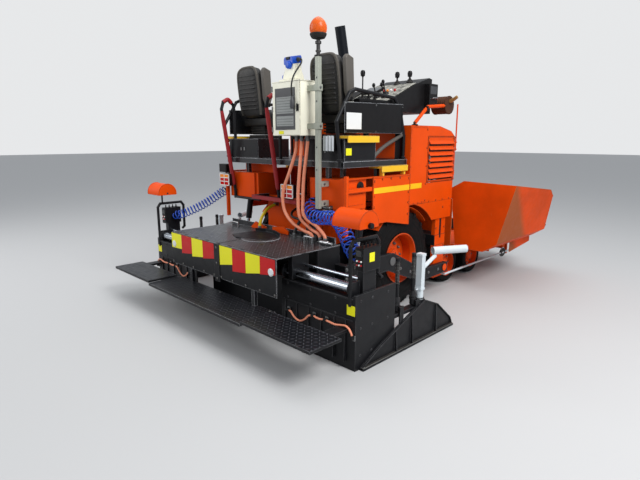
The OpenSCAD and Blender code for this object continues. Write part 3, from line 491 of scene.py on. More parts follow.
def blended(tree, share, one, two):
    """From colour one to colour two, by share."""
    return add_node(tree, "ShaderNodeMix", {0: share, 6: one, 7: two}, data_type="RGBA").outputs[2]


PAINTED = ("Color", "Color", (1, 1, 1, 1))
SHADERS = "ShaderNodeTree"


@once(
    "edge wear", SHADERS, [PAINTED, ("Worn Color", "Color", (0.3, 0.3, 0.3, 1)), ("Amount", "Float", 0.3)],
    [("Color", "Color"), ("Worn", "Float")],
)
def effect_edge_wear(group, given):
    """Paint rubbed off along edges, in patches."""
    edge = add_node(group, "ShaderNodeBevel", {"Radius": 0.007}, samples=4).outputs[0]
    flat = add_node(group, "ShaderNodeNewGeometry").outputs["Normal"]
    same = add_node(group, "ShaderNodeVectorMath", {0: edge, 1: flat}, operation="DOT_PRODUCT")
    bare = between(group, same.outputs["Value"], 0.995, 0.86)
    cut = sum_of(group, "SUBTRACT", 0.86, sum_of(group, "MULTIPLY", given["Amount"], 0.5))
    low, high = (sum_of(group, "SUBTRACT", cut, less) for less in (0.34, 0.2))
    spots = between(group, object_noise(group, 9.0, 6.0, 0.65), low, high)
    worn = sum_of(group, "MULTIPLY", bare, spots, clamp=True)
    marks = between(group, object_noise(group, 55.0, 4.0, 0.7, (1, 1, 0.25)), 0.69, 0.73)
    marks = sum_of(group, "MULTIPLY", marks, sum_of(group, "MULTIPLY", given["Amount"], 0.7))
    worn = sum_of(group, "MAXIMUM", worn, marks)
    return {"Color": blended(group, worn, given["Color"], given["Worn Color"]), "Worn": worn}


@once(
    "dust film", SHADERS,
    [
        PAINTED, ("Dust Color", "Color", (0.3, 0.26, 0.2, 1)), ("Amount", "Float", 0.3),
        ("Scale", "Float", 3.0)
    ],
    [("Color", "Color"), ("Dust", "Float")],
)
def effect_dust(group, given):
    """Dust in clouds, more of it on what faces up."""
    clouds = object_noise(group, given["Scale"], 7.0, 0.62)
    fine = object_noise(group, 42.0, 5.0, 0.7)
    both = sum_of(group, "MULTIPLY_ADD", fine, 0.35, sum_of(group, "MULTIPLY", clouds, 0.65))
    lift = between(group, facing(group, "Normal")[2], -0.2, 1.0, 0.65, 1.35)
    amount = sum_of(group, "MULTIPLY", between(group, both, 0.38, 0.66), lift)
    amount = sum_of(group, "MULTIPLY", amount, given["Amount"], clamp=True)
    return {"Color": blended(group, amount, given["Color"], given["Dust Color"]), "Dust": amount}


@once("tread plate", SHADERS, [("Cell", "Float", 0.03)], [("Height", "Float")])
def effect_tread(group, given):
    """Raised lozenges in turn this way and that, on faces that look up or down."""

    def sums(kind, *values):
        return sum_of(group, kind, *values)

    per = sums("DIVIDE", 1.0, given["Cell"])
    cells = add_node(
        group, "ShaderNodeVectorMath", {0: object_place(group), "Scale": per}, operation="SCALE"
    )
    x, y, _ = split(group, cells.outputs[0])
    odd = sums("FLOORED_MODULO", sums("ADD", sums("FLOOR", x), sums("FLOOR", y)), 2.0)
    u = sums("SUBTRACT", sums("FRACT", x), 0.5)
    v = sums("MULTIPLY", sums("SUBTRACT", sums("FRACT", y), 0.5), sums("MULTIPLY_ADD", odd, -2.0, 1.0))
    along, across = sums("DIVIDE", sums("ADD", u, v), 0.62), sums("DIVIDE", sums("SUBTRACT", u, v), 0.2)
    d = sums("ADD", sums("MULTIPLY", along, along), sums("MULTIPLY", across, across))
    level = sums("GREATER_THAN", sums("ABSOLUTE", facing(group)[2]), 0.8)
    return {"Height": sums("MULTIPLY", between(group, d, 1.0, 0.35, kind="SMOOTHSTEP"), level)}


def coat(
    name, colour, rough, metal=0.0, clear=0.0, tint=0.12, dust=0.0, dust_colour="8c8172", dust_scale=3.0,
    wear=0.0, worn="5a5550", grain=0.0, grain_scale=220.0, tread=0.0, through=0.0, glow=0.0, sheen=0.0,
    specular=0.35, painted_shadow=None, edge=0.003,
):
    """A finish from one recipe: a colour that drifts a little, rubbed edges, dust, a fine grain, and on the
    wings a brown band of painted shadow, partly dirt.
    """
    made = bpy.data.materials.new(name.replace("_", " "))
    made.use_nodes = True
    tree = made.node_tree
    shader = tree.nodes["Principled BSDF"]

    def effect(group, **values):
        return add_node(tree, "ShaderNodeGroup", values, node_tree=group()).outputs

    base = linear(colour) if isinstance(colour, str) else tuple(colour)
    drift, small = object_noise(tree, 1.7, 4.0), object_noise(tree, 17.0, 5.0)
    deep, pale = [c * (1 - tint) for c in base], [min(1, c * (1 + 0.6 * tint)) for c in base]
    shade = blended(tree, between(tree, drift, 0.35, 0.68), (*deep, 1), (*pale, 1))
    gloss = between(tree, small, 0.3, 0.7, max(0.02, rough - 0.06), rough + 0.07)
    rubbed_colour = (*linear(worn), 1)
    if tread:
        bump = effect(effect_tread, Cell=tread)[0]
        rubbed = sum_of(tree, "MULTIPLY", bump, sum_of(tree, "MULTIPLY", small, 0.8))
        shade = blended(tree, rubbed, shade, rubbed_colour)
    if wear:
        values = {"Color": shade, "Worn Color": rubbed_colour, "Amount": wear}
        shade = effect(effect_edge_wear, **values)["Color"]
    if painted_shadow:
        # Painted shadow, partly dirt: a brown band on the faces that look sideways, where forward * Y + up
        # * Z + start is over 0
        forward, up, start, soft, shadow_colour = painted_shadow
        _, y, z = split(tree, object_place(tree))
        line = sum_of(tree, "MULTIPLY_ADD", y, forward, sum_of(tree, "MULTIPLY_ADD", z, up, start))
        sideways = sum_of(tree, "GREATER_THAN", sum_of(tree, "ABSOLUTE", facing(tree)[0]), 0.7)
        shadow_mask = sum_of(tree, "MULTIPLY", between(tree, line, -soft, soft, kind="SMOOTHSTEP"), sideways)
        shadow_mask = sum_of(tree, "MULTIPLY", shadow_mask, sum_of(tree, "MULTIPLY_ADD", drift, 0.3, 0.6))
        shade = blended(tree, shadow_mask, shade, (*linear(shadow_colour), 1))
    if dust:
        grime = (*linear(dust_colour), 1)
        values = {"Color": shade, "Dust Color": grime, "Amount": dust, "Scale": dust_scale}
        film = effect(effect_dust, **values)
        shade = film["Color"]
        gloss = sum_of(tree, "MULTIPLY_ADD", film["Dust"], 0.45, gloss, clamp=True)
    if edge:
        last = add_node(tree, "ShaderNodeBevel", {"Radius": edge}, samples=4).outputs[0]
    else:
        last = add_node(tree, "ShaderNodeNewGeometry").outputs["Normal"]
    if grain:
        values = {"Height": object_noise(tree, grain_scale, 4.0, 0.6), "Strength": grain, "Distance": 0.002}
        last = add_node(tree, "ShaderNodeBump", {**values, "Normal": last}).outputs[0]
    if tread:
        values = {"Height": bump, "Strength": 1.0, "Distance": 0.005, "Normal": last}
        last = add_node(tree, "ShaderNodeBump", values).outputs[0]
    for socket, value in {"Base Color": shade, "Roughness": gloss, "Normal": last}.items():
        tree.links.new(value, shader.inputs[socket])
    plain = {
        "Metallic": metal, "Coat Weight": clear, "Coat Roughness": 0.12, "Specular IOR Level": specular,
        "Transmission Weight": through, "Sheen Weight": sheen,
    }
    if glow:
        plain.update({"Emission Color": (*base, 1), "Emission Strength": glow})
    for socket, value in plain.items():
        shader.inputs[socket].default_value = value
    return made


# Each finish: its colour (a screen colour, or a word for one that the sidebar sets), its roughness,
# and what else coat() is given. A dust or worn edge may have its own colour after a colon.
FINISHES = """
orange paint .42 tint=.1 dust=.08:8a4018 wear=.35:5b3a26 grain=.05 specular=.1
orange_hopper paint .5 tint=.22 dust=.42:7a3010 dust_scale=1.3 wear=.6:b08a60 grain=.12 specular=.08
orange_wing paint .5 tint=.2 dust=.2:8a3a10 dust_scale=1.3 wear=.6:b08a60 grain=.12 specular=.08
orange_rim paint .45 dust=.25:5e3a24 wear=.4:4a3a30 grain=.08 specular=.2
frame_dark 17171a .5 dust=.15:3e3a34 wear=.35:55504a grain=.2 specular=.22
screed_black screed .4 dust=.05:4a4744 wear=.35:4c4c4e grain=.1 specular=.2
deck_tread 16171b .3 dust=.08:4a4846 wear=.4:b4b6ba tread=.04 grain=.04 specular=.6
walk_tread 0b0c11 .36 dust=.03:2e2e30 wear=.3:6e7076 tread=.04 grain=.04 specular=.3
chrome b4bac2 .22 metal=1 tint=.04 dust=.04:8b8378 edge=0
bright_steel a9abad .3 metal=1 dust=.2 wear=.2:d0d0d0 grain=.1
dark_steel 3c3c3e .4 metal=.7 dust=.15 wear=.4:7c7b78 grain=.15
worn_steel 63605c .42 metal=.85 dust=.45:3a342e wear=.6:b4b2ae grain=.35 grain_scale=90
tip_steel b98f55 .4 metal=.6 dust=.3:6a4a30 grain=.2
zinc 77797a .4 metal=.85 dust=.2 grain=.05
tyre 0d0d0e .7 tint=.2 dust=.1:2c2823 dust_scale=2.4 grain=.35 grain_scale=160 specular=.15
rubber 131314 .6 dust=.12 grain=.2 specular=.3
cream f2efdb .38 clear=.1 dust=.1:9c9280 wear=.25:8f8a7c grain=.05
panel_grey 3a3c40 .45 dust=.1 grain=.08
pale_grey cfd8dd .34 tint=.06 dust=.1 wear=.25:83888a grain=.06
vent_grey 8d918f .5 tint=.15 dust=.15 grain=.4 grain_scale=160
seat_piping 4a4640 .55 dust=.1 grain=.3 grain_scale=420
mast_grey a0a498 .42 tint=.15 metal=.2 dust=.15 wear=.3:7a7d74 grain=.1
step_yellow steps .45 dust=.2 wear=.4:6b6350 grain=.25 grain_scale=120
stripe_yellow f7bd08 .36 dust=.12:a5763a grain=.03
block_yellow ece71e .4 clear=.05 dust=.04 tint=.04 grain=.1 grain_scale=500 specular=.2
block_red c40d12 .4 clear=.05 dust=.04 tint=.05 grain=.1 grain_scale=500 specular=.2
sleeve_red 96121c .5 dust=.1 grain=.3 grain_scale=260
hose_salmon hose .5 dust=.1 tint=.16 grain=.12
hose_yellow e0c010 .45 dust=.1 grain=.12
hose_black 131416 .45 dust=.12 grain=.15
coil_blue coil .32 clear=.15 dust=.02 tint=.08
rust 4a2a1a .8 tint=.5 dust=.35:7a4c30 dust_scale=7 grain=.6 grain_scale=70
soot 0c1119 .45 dust=.03:3f3a36 wear=.35:5a4a40 grain=.2 specular=.2
seat_shell 17181a .48 dust=.12 grain=.35 grain_scale=420 specular=.3
seat_cloth 1d1e20 .7 dust=.12 sheen=.2 grain=.7 grain_scale=520
grey_plastic 54504b .45 dust=.1 grain=.12
dark_plastic 100f11 .42 dust=.04:5c554c grain=.12 specular=.2
white_plastic e9e9e6 .35 dust=.1 tint=.05 grain=.05
blank_plate dfe0de .4 tint=.04 dust=.12 grain=.03
amber e8620c .3 through=.15 glow=.12 tint=.15
red_lens b00612 .12 clear=.6 tint=.1 glow=.05
amber_lens f08a10 .14 clear=.6 tint=.1 glow=.05
clear_lens dfe3e6 .08 clear=.6 tint=.05 metal=.3
mottled 1c1c1b .5 tint=.4 dust=1:a8a69c dust_scale=16 grain=.9 grain_scale=70
screen 0c1013 .1 clear=.6 tint=.05
blue_cap 174fc0 .35 dust=.05 tint=.06 grain=.05
bitumen 0f0e0e .5 tint=.3 dust=.15:3a3630 grain=.8 grain_scale=60 specular=.3
"""
WING_SHADOW = (-1.0, -1.05, 2.0, 0.1, "85552f")  # painted shadow, partly dirt, on the wings' outer walls, low and to the rear


def looks():
    return bpy.context.scene.paver_looks


def finish(name):
    """The finish of that name, made from its line of FINISHES when it is first used."""
    made = bpy.data.materials.get(name.replace("_", " "))
    if made:
        return made
    line = next(words for words in map(str.split, FINISHES.splitlines()) if words[:1] == [name])
    # The wings' finish takes the brown band of painted shadow, partly dirt
    own = {"painted_shadow": WING_SHADOW} if name == "orange_wing" else {}
    for word in line[3:]:
        key, value = word.split("=")
        number, _, colour = value.partition(":")
        own[key] = float(number)
        if colour:
            own["worn" if key == "wear" else "dust_colour"] = colour
    return coat(name, getattr(looks(), line[1], line[1]), float(line[2]), **own)


def repaint(name, nodes):
    """CAD nodes whose shape is right keep it, and take a finish. A pair is named up to _left."""
    for node in nodes.split():
        for own in (node,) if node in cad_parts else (f"{node}_left", f"{node}_right"):
            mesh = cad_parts[own].data
            if not mesh.materials:
                mesh.materials.append(None)
            for i in range(len(mesh.materials)):
                mesh.materials[i] = finish(name)


# ---- the stage and the cords
HOSES = (
    ("pressure_hose_a", "hose_salmon", [
        (350, -980, 1792.6), (350, -980, 1740), (340, -985, 1640), (265, -1000, 1450), (180, -1012, 1250),
        (190, -1010, 1080), (290, -1000, 960), (440, -985, 895), (550, -1000, 880), (580, -1000, 850),
        (580, -1000, 805.4)
    ]),
    ("pressure_hose_b", "hose_salmon", [
        (420, -980, 1792.6), (420, -980, 1740), (415, -990, 1600), (400, -1000, 1400), (390, -1005, 1200),
        (410, -1000, 1020), (520, -965, 920), (620, -965, 885), (650, -968, 850), (650, -968, 805.4)
    ]),
    ("pressure_hose_c", "hose_salmon", [
        (480, -960, 1792.6), (480, -960, 1740), (470, -970, 1600), (445, -980, 1400), (437, -985, 1200),
        (457, -990, 1040), (600, -960, 950), (695, -968, 890), (720, -970, 850), (720, -970, 805.4)
    ]),
    ("fuel_hose", "hose_yellow", [
        (-250, -720.4, 1060), (-250, -765, 1060), (-250, -870, 1020), (-245, -950, 945), (-240, -985, 860),
        (-240, -985, 805.4)
    ]),
    ("return_hose", "hose_black", [
        (330, -720.4, 1040), (330, -765, 1040), (335, -870, 1010), (330, -945, 945), (320, -990, 860),
        (320, -990, 805.4)
    ]),
    ("tank_hose_a", "hose_black", [
        (690, -908, 1072), (660, -908, 1071), (610, -908, 1057), (556, -912, 1008), (532, -918, 950),
        (540, -930, 895), (562, -946, 850), (568, -950, 805.4)
    ]),
    ("tank_hose_b", "hose_black", [
        (690, -908, 1102), (655, -908, 1101), (598, -908, 1086), (528, -912, 1030), (502, -918, 955),
        (512, -930, 890), (530, -946, 848), (536, -950, 805.4)
    ]),
    ("tank_hose_c", "hose_black", [
        (690, -908, 1132), (650, -908, 1131), (588, -908, 1115), (504, -912, 1052), (472, -918, 960),
        (482, -930, 886), (498, -946, 846), (504, -950, 805.4)
    ]),
    ("tank_hose_d", "hose_black", [
        (120, -720.4, 1060), (120, -765, 1059), (140, -860, 1030), (215, -925, 1000), (320, -940, 988),
        (392, -936, 975), (438, -938, 925), (458, -948, 860), (460, -950, 805.4)
    ])
)
# Each curly cable: its name, the outer radius of its coil, its turns and its route
CURLY = (
    ("curly_cable_left", 54, 20, [
        (-935.4, -907, 1180), (-965, -907, 1180), (-1040, -950, 1130), (-1130, -1030, 1050),
        (-1230, -1120, 975), (-1340, -1235, 905), (-1425, -1310, 875), (-1479.5, -1320, 870)
    ]),
    ("curly_cable_right", 66, 21, [
        (500, -880.4, 1190), (500, -915, 1190), (535, -975, 1110), (620, -1020, 1063),
        (720, -1045, 1057), (840, -1070, 1075), (960, -1105, 1085), (1090, -1160, 1050),
        (1220, -1225, 965), (1330, -1290, 895), (1420, -1320, 870), (1479.5, -1320, 870)
    ])
)


def smoothed(points, per=8):
    """A smooth line through points, per steps to each span, straight at both ends."""
    p = [Vector(v) for v in points]
    ends = [p[0] * 2 - p[1], *p, p[-1] * 2 - p[-2]]
    line = []
    for i in range(1, len(ends) - 2):
        a, b, c, d = ends[i - 1:i + 3]
        for k in range(per):
            t = k / per
            line.append(0.5 * (
                2 * b + (c - a) * t + (2 * a - 5 * b + 4 * c - d) * t * t + (3 * b - a - 3 * c + d) * t ** 3
            ))
    return [*line, p[-1]]


def hose(name, coat_name, route, radius, replaces="", collars=True):
    """A hose along a route, with a crimped collar at each end."""
    line, shape, extra = smoothed(route), Shape(), []
    shape.tube(line, radius, 14)
    made = shape.place(name, ROOT, coat_name, replaces, angle=60)
    if collars:
        ends = Shape()
        for a, b in ((line[0], line[3]), (line[-1], line[-4])):
            way = (b - a).normalized()
            sizes = (0, 20), (14, 20), (15, 17.6), (20, 17.6), (21, 19), (44, 19), (46, 17.2), (52, 17)
            ends.tube([a + way * s for s, _ in sizes], [r * radius / 16 for _, r in sizes], 14)
        extra = [ends.place(f"{name}_collars", ROOT, "zinc", angle=40)]


def curly(name, route, outer, turns, wire=6.0):
    """A curly cable: a wire wound round its route, closing to the middle at both ends."""
    spine, line, per = smoothed(route, 10), [], 16
    marks = [0.0]
    for a, b in zip(spine, spine[1:]):
        marks.append(marks[-1] + (b - a).length)
    total, side, k = marks[-1], None, 0
    count = turns * per
    for i in range(count + 1):
        along = total * i / count
        while k < len(spine) - 2 and marks[k + 1] < along:
            k += 1
        t = (along - marks[k]) / max(marks[k + 1] - marks[k], 1e-09)
        here, ahead = spine[k].lerp(spine[k + 1], t), (spine[k + 1] - spine[k]).normalized()
        side = side or ahead.orthogonal().normalized()
        side = (side - ahead * side.dot(ahead)).normalized()
        up, a = ahead.cross(side), TURN * i / per
        ease = min(1.0, i / (1.5 * per), (count - i) / (1.5 * per))
        radius = (outer - wire - 1) * ease * ease * (3 - 2 * ease)
        line.append(here + (side * math.cos(a) + up * math.sin(a)) * radius)
    shape = Shape().tube(line, wire, 8)
    made = shape.place(name, ROOT, "coil_blue", "coils", angle=60)
    ends = Shape()
    for a, b in ((spine[0], spine[3]), (spine[-1], spine[-4])):
        way = (b - a).normalized()
        sizes = (0, 21), (16, 21), (17, 17), (40, 16), (46, 11), (62, 9)
        ends.tube([a + way * s for s, _ in sizes], [r for _, r in sizes], 16)
    plug = ends.place(f"{name}_plugs", ROOT, "dark_plastic", angle=40)


# The stage, in metres: half the floor's width, where the lamps aim, each lamp's name, place, watts
# and size, and where the photographer's camera stood, with the width of its film in millimetres
FLOOR_HALF = 60
LAMP_AIM = Vector((0.2, 0, 0.9))
LAMPS = (
    ("key lamp", (6.5, -2.0, 6.5), 520, 3.2),
    ("fill lamp", (-5.5, -6.5, 4.5), 220, 4.5),
    ("top lamp", (0.5, 0.5, 8.0), 200, 6.0)
)
CAMERA_PLACE = 3.768, -4.576, 1.76
SENSOR_WIDTH = 36


class PAVER_OT_stage(bpy.types.Operator):
    """Floor, soft lamps and the camera at the photograph's angle"""

    bl_idname = "paver.stage"
    bl_label = "Stage and camera"

    def execute(self, context):
        scene = context.scene
        scene.view_settings.view_transform = "Standard"
        mesh = bpy.data.meshes.new("floor")
        corners = [(x * FLOOR_HALF, y * FLOOR_HALF, 0) for x, y in ((-1, -1), (1, -1), (1, 1), (-1, 1))]
        mesh.from_pydata(corners, [], [(0, 1, 2, 3)])
        floor = bpy.data.objects.new("floor", mesh)
        scene.collection.objects.link(floor)
        pale = bpy.data.materials.new("pale floor")
        pale.use_nodes = True
        shader = pale.node_tree.nodes["Principled BSDF"]
        shader.inputs["Base Color"].default_value = 0.5, 0.5, 0.5, 1
        shader.inputs["Roughness"].default_value = 0.85
        mesh.materials.append(pale)
        world = bpy.data.worlds.new("studio")
        scene.world = world
        world.use_nodes = True
        tree = world.node_tree
        back = tree.nodes["Background"]
        back.inputs["Color"].default_value = 0.86, 0.9, 0.95, 1
        back.inputs["Strength"].default_value = 0.68
        seen = add_node(tree, "ShaderNodeBackground", {"Color": (0.8, 0.81, 0.82, 1), "Strength": 1.0})
        path = add_node(tree, "ShaderNodeLightPath")
        mix = add_node(
            tree, "ShaderNodeMixShader",
            {0: path.outputs["Is Camera Ray"], 1: back.outputs[0], 2: seen.outputs[0]}
        )
        tree.links.new(mix.outputs[0], tree.nodes["World Output"].inputs["Surface"])
        for label, place, power, size in LAMPS:
            lamp = bpy.data.lights.new(label, "AREA")
            lamp.energy, lamp.size = power, size
            made = bpy.data.objects.new(label, lamp)
            made.location = place
            aim = LAMP_AIM - Vector(place)
            made.rotation_euler = aim.to_track_quat("-Z", "Y").to_euler()
            scene.collection.objects.link(made)
        lens = bpy.data.cameras.new("camera")
        own = looks()
        lens.sensor_width, lens.lens = SENSOR_WIDTH, own.lens
        camera = bpy.data.objects.new("camera", lens)
        a, p = math.radians(own.azimuth), math.radians(own.pitch)
        camera.location = CAMERA_PLACE
        way = Vector((-math.sin(a) * math.cos(p), math.cos(a) * math.cos(p), -math.sin(p)))
        camera.rotation_euler = way.to_track_quat("-Z", "Y").to_euler()
        scene.collection.objects.link(camera)
        scene.camera = camera
        return {"FINISHED"}


class PAVER_OT_cords(bpy.types.Operator):
    """Hoses from the box and the rear wall to the screed, and the two curly cables"""

    bl_idname = "paver.cords"
    bl_label = "Hoses and curly cables"

    def execute(self, context):
        for name, coat_name, route in HOSES:
            hose(name, coat_name, route, 13 if "tank" in name else 16, replaces="hoses")
        for name, outer, turns, route in CURLY:
            curly(name, route, outer, turns)
        block = Shape()
        for z in (1072, 1102, 1132):
            block.rod((712, -908, z), (690, -908, z), 15, 16)
            block.rod((712, -880.3, z), (712, -908, z), 15, 16)
            block.ball((712, -908, z), 15)
        block.paint(1).box(696, 730, -884, -880.3, 1052, 1152)
        block.place("tank_hose_elbows", ROOT, "zinc screed_black", angle=50)
        return {"FINISHED"}


# ---- wheels
# The rear tyre's middle, the height of its axle and its own radius
TYRE_MID, AXLE_Z, TYRE_R = 760, 526, 526


class PAVER_OT_rear_wheels(bpy.types.Operator):
    """Rear tyres with their lugs, rims with nuts, hub cap and valve"""

    bl_idname = "paver.rear_wheels"
    bl_label = "Rear wheels"

    def execute(self, context):
        own = looks()
        hub, crown = (TYRE_MID, 0, AXLE_Z), TYRE_R - own.lug_height * 1000
        half = [
            (0, crown), (50, crown - 1), (92, crown - 4), (116, crown - 11), (132, crown - 30),
            (140, crown - 62), (143.5, 420), (144.5, 400), (142, 392), (144.5, 384), (143.5, 350),
            (141, 322), (142.5, 316), (141, 310), (139, 300), (134, 276), (128, 262), (123, 256)
        ]
        profile = half + [(122, 254.2), (-122, 254.2)] + [(-x, r) for x, r in half[::-1][:-1]]
        tyre = Shape().lathe(profile, hub, "x", 96)
        tyre.pair("tyre", "rear_wheel", "tyre", "rear_tyre", angle=32)
        for label, way, turn in (("outer", 1, 0.0), ("inner", -1, math.pi / own.lug_count)):
            rings = []
            for t in (0, 0.2, 0.4, 0.6, 0.76, 0.86, 0.94, 1.0):
                x = 4 + 139 * t
                drop = 0 if t < 0.7 else 46 * ((t - 0.7) / 0.3) ** 1.7
                low = crown - 6 - drop - (8 if t > 0.9 else 0)
                high = TYRE_R - 0.5 - 0.9 * drop
                sweep, wide = -0.205 * t, 21 + 3 * t
                points = []
                for r, w in ((low, wide + 4), (high, wide - 2), (high, 2 - wide), (low, -wide - 4)):
                    a = sweep + w / r
                    points.append((TYRE_MID + way * x, r * math.sin(a), AXLE_Z + r * math.cos(a)))
                rings.append(points if way > 0 else points[::-1])
            lug = Shape().loft(rings)
            ring_pair(lug, own.lug_count, hub, (1, 0, 0), f"tread_{label}", "rear_wheel", "tyre", turn)
        repaint("orange_rim", "rear_rim")
        nut = Shape().lathe([(8, 19), (11, 19), (11, 0)], (TYRE_MID, 140, AXLE_Z), "x", 12)
        nut.lathe([(11, 15), (26, 15), (27.5, 11), (27.5, 0)], (TYRE_MID, 140, AXLE_Z), "x", 6)
        nut.rod((TYRE_MID + 26, 140, AXLE_Z), (TYRE_MID + 37, 140, AXLE_Z), 8, 10)
        ring_pair(nut, 10, hub, (1, 0, 0), "wheel_nuts", "rear_wheel", "zinc")
        cap = Shape().lathe([(54, 0), (54, 66), (62, 64), (67, 54), (69, 30), (69, 0)], hub, "x", 36)
        for z in (AXLE_Z - 44, AXLE_Z + 44):
            cap.lathe([(66, 10), (75, 10), (76, 0)], (TYRE_MID, 0, z), "x", 6)
        cap.pair("hub_cap", "rear_wheel", "orange_rim", bevel=1)
        valve = [(TYRE_MID + x, 0, AXLE_Z + z) for x, z in ((40, 238), (58, 232), (88, 228))]
        Shape().tube(valve, [6, 5, 4.5], 10).pair("valve", "rear_wheel", "rubber")
        return {"FINISHED"}


class PAVER_OT_front_wheels(bpy.types.Operator):
    """Solid front tyres on their hubs, with nuts"""

    bl_idname = "paver.front_wheels"
    bl_label = "Front wheels"

    def execute(self, context):
        mid = 578 + 112.5
        for end, y in (("rear", 1150), ("front", 1770)):
            for word, side in SIDES:
                body, c = f"front_wheel_{word}_{end}", (mid, y, 230)
                tyre = Shape()
                half = [
                    (20, 229.6), (27, 229.6), (30, 224), (34, 224), (37, 229.4), (84, 228), (100, 222),
                    (108, 208), (111, 186), (108, 166), (105, 151)
                ]
                groove = [(-6, 229.6), (-4, 225), (4, 225), (6, 229.6)]
                full = half + [(-x, r) for x, r in half[::-1]] + groove
                tyre.lathe(full, c, "x", 72)
                tyre.place(f"solid_tyre_{word}_{end}", body, "tyre", body, side, angle=28)
                hub = Shape().lathe([
                    (110, 142), (110, 150), (-110, 150), (-110, 138), (32, 128), (32, 46), (-107, 46),
                    (-107, 60), (38, 60), (46, 90), (46, 138)
                ], c, "x", 48)
                hub.lathe([(38, 64), (72, 62), (80, 52), (84, 30), (84, 0)], c, "x", 32)
                hub.place(f"front_hub_{word}_{end}", body, "orange_rim", body, side, bevel=1.5, angle=40)
                nut = Shape().lathe([(45, 12), (60, 12), (61, 0)], (mid, y + 104, 230), "x", 6)
                ring(nut, 8, c, (1, 0, 0), f"front_nuts_{word}_{end}", body, "zinc", side)
                repaint("frame_dark", f"knuckle_{word}_{end}")
        return {"FINISHED"}


# ---- tractor


class PAVER_OT_hood(bpy.types.Operator):
    """Engine hood, louvred doors, grille, muffler, stack and what shows of the engine"""

    bl_idname = "paver.hood"
    bl_label = "Engine hood"

    def execute(self, context):
        repaint("orange", "engine_hood service_door")
        repaint("frame_dark", "engine_block")
        repaint("rust", "muffler")
        repaint("soot", "exhaust_stack")
        latch = Shape().box(920.4, 924, 408, 448, 1520, 1600)
        latch.paint(1).box(924, 931, 414, 440, 1532, 1588).rod((924, 428, 1510), (932, 428, 1510), 11, 16)
        latch.pair("door_latch", "door", "dark_plastic zinc", bevel=1.5)
        # Painted shade: a dark sheet a hand's width behind the louvres, so the engine bay seen through them
        # looks dark
        Shape().box(893, 895, 430, 900, 1322, 1766).pair("door_lining", "door", "dark_plastic")
        rim = Shape()
        for z in (1306, 1781):
            rim.box(920.2, 922.5, 399, 931, z - 3, z + 3)
        for y in (399, 931):
            rim.box(920.2, 922.5, y - 3, y + 3, 1303, 1784)
        rim.pair("door_edge", "door", "orange", bevel=0.8)
        spots = grid("+x", 921, (410, 924), (1318, 1400, 1700, 1774))
        bolt_pair(spots, "door_bolts", "door", "orange", 7, 5)
        trim = Shape().boxes(
            (920.3, 922.2, 72, 90, 1084, 1890), (920.3, 922.2, 90, 386, 1876, 1890),
            (920.3, 922.2, 90, 386, 1084, 1098)
        )
        trim.paint(1).box(920.2, 921.8, 92, 300, 1250, 1305)
        trim.mirrored().place("hood_trim", ROOT, "orange stripe_yellow", bevel=0.6)
        spots = grid("+x", 921, (84, 378), (1110, 1290, 1480, 1670, 1860))
        spots += grid("+x", 921, (160, 240, 320, 460, 600, 740, 880), 1092)
        bolts(spots, "hood_bolts", ROOT, "orange", 8, 5, both=True)
        top = Shape().lathe([
            (1900.5, 108), (1906, 108), (1908, 86), (1914, 78), (1914, 72), (1900.5, 72)
        ], (-330, 618, 0), "z", 40)
        top.paint(1).lathe([
            (1900.5, 66), (1960, 66), (1962, 104), (2032, 108), (2046, 96), (2052, 60), (2054, 0)
        ], (310, 560, 0), "z", 40)
        top.place("hood_top_parts", ROOT, "soot dark_plastic", bevel=1.2)
        angles = [k * math.pi / 3 for k in range(6)]
        spots = [(-330 + 98 * math.cos(a), 618 + 98 * math.sin(a), 1906, "+z") for a in angles]
        bolts(spots, "stack_bolts", ROOT)
        slat = Shape().box(-690, 690, 951, 953.5, 1190, 1194)
        row(slat, 33, (0, 0, 12.8), "grille_mesh", ROOT, "dark_plastic")
        shield = Shape()
        for x in range(756, 900, 24):
            shield.lathe([
                (x, 92.5), (x + 4, 96), (x + 9, 96), (x + 13, 92.5)
            ], (0, 800, 2130), "x", 40, closed=False)
        for x in (740, 906):
            shield.collar(x - 3, x + 8, 92.4, 99, (0, 800, 2130), "x", 40)
        shield.paint(1).tube([
            (898, 165, 1900.5), (898, 165, 1925), (898, 390, 2095), (898, 712, 2119.4)
        ], 18.4, 16)
        shield.paint(2).tube([
            (914, 800, 2168), (938, 800, 2176), (972, 800, 2194), (1004, 800, 2214)
        ], [20, 20, 19, 17], 16)
        shield.paint(3).lathe([
            (1901, 0), (1901, 34), (1908, 34), (1912, 24), (1912, 0)
        ], (898, 165, 0), "z", 24)
        shield.box(876, 920, 352, 380, 2050, 2100)
        shield.place("muffler_bands", ROOT, "rust orange tip_steel dark_plastic", angle=50)
        return {"FINISHED"}


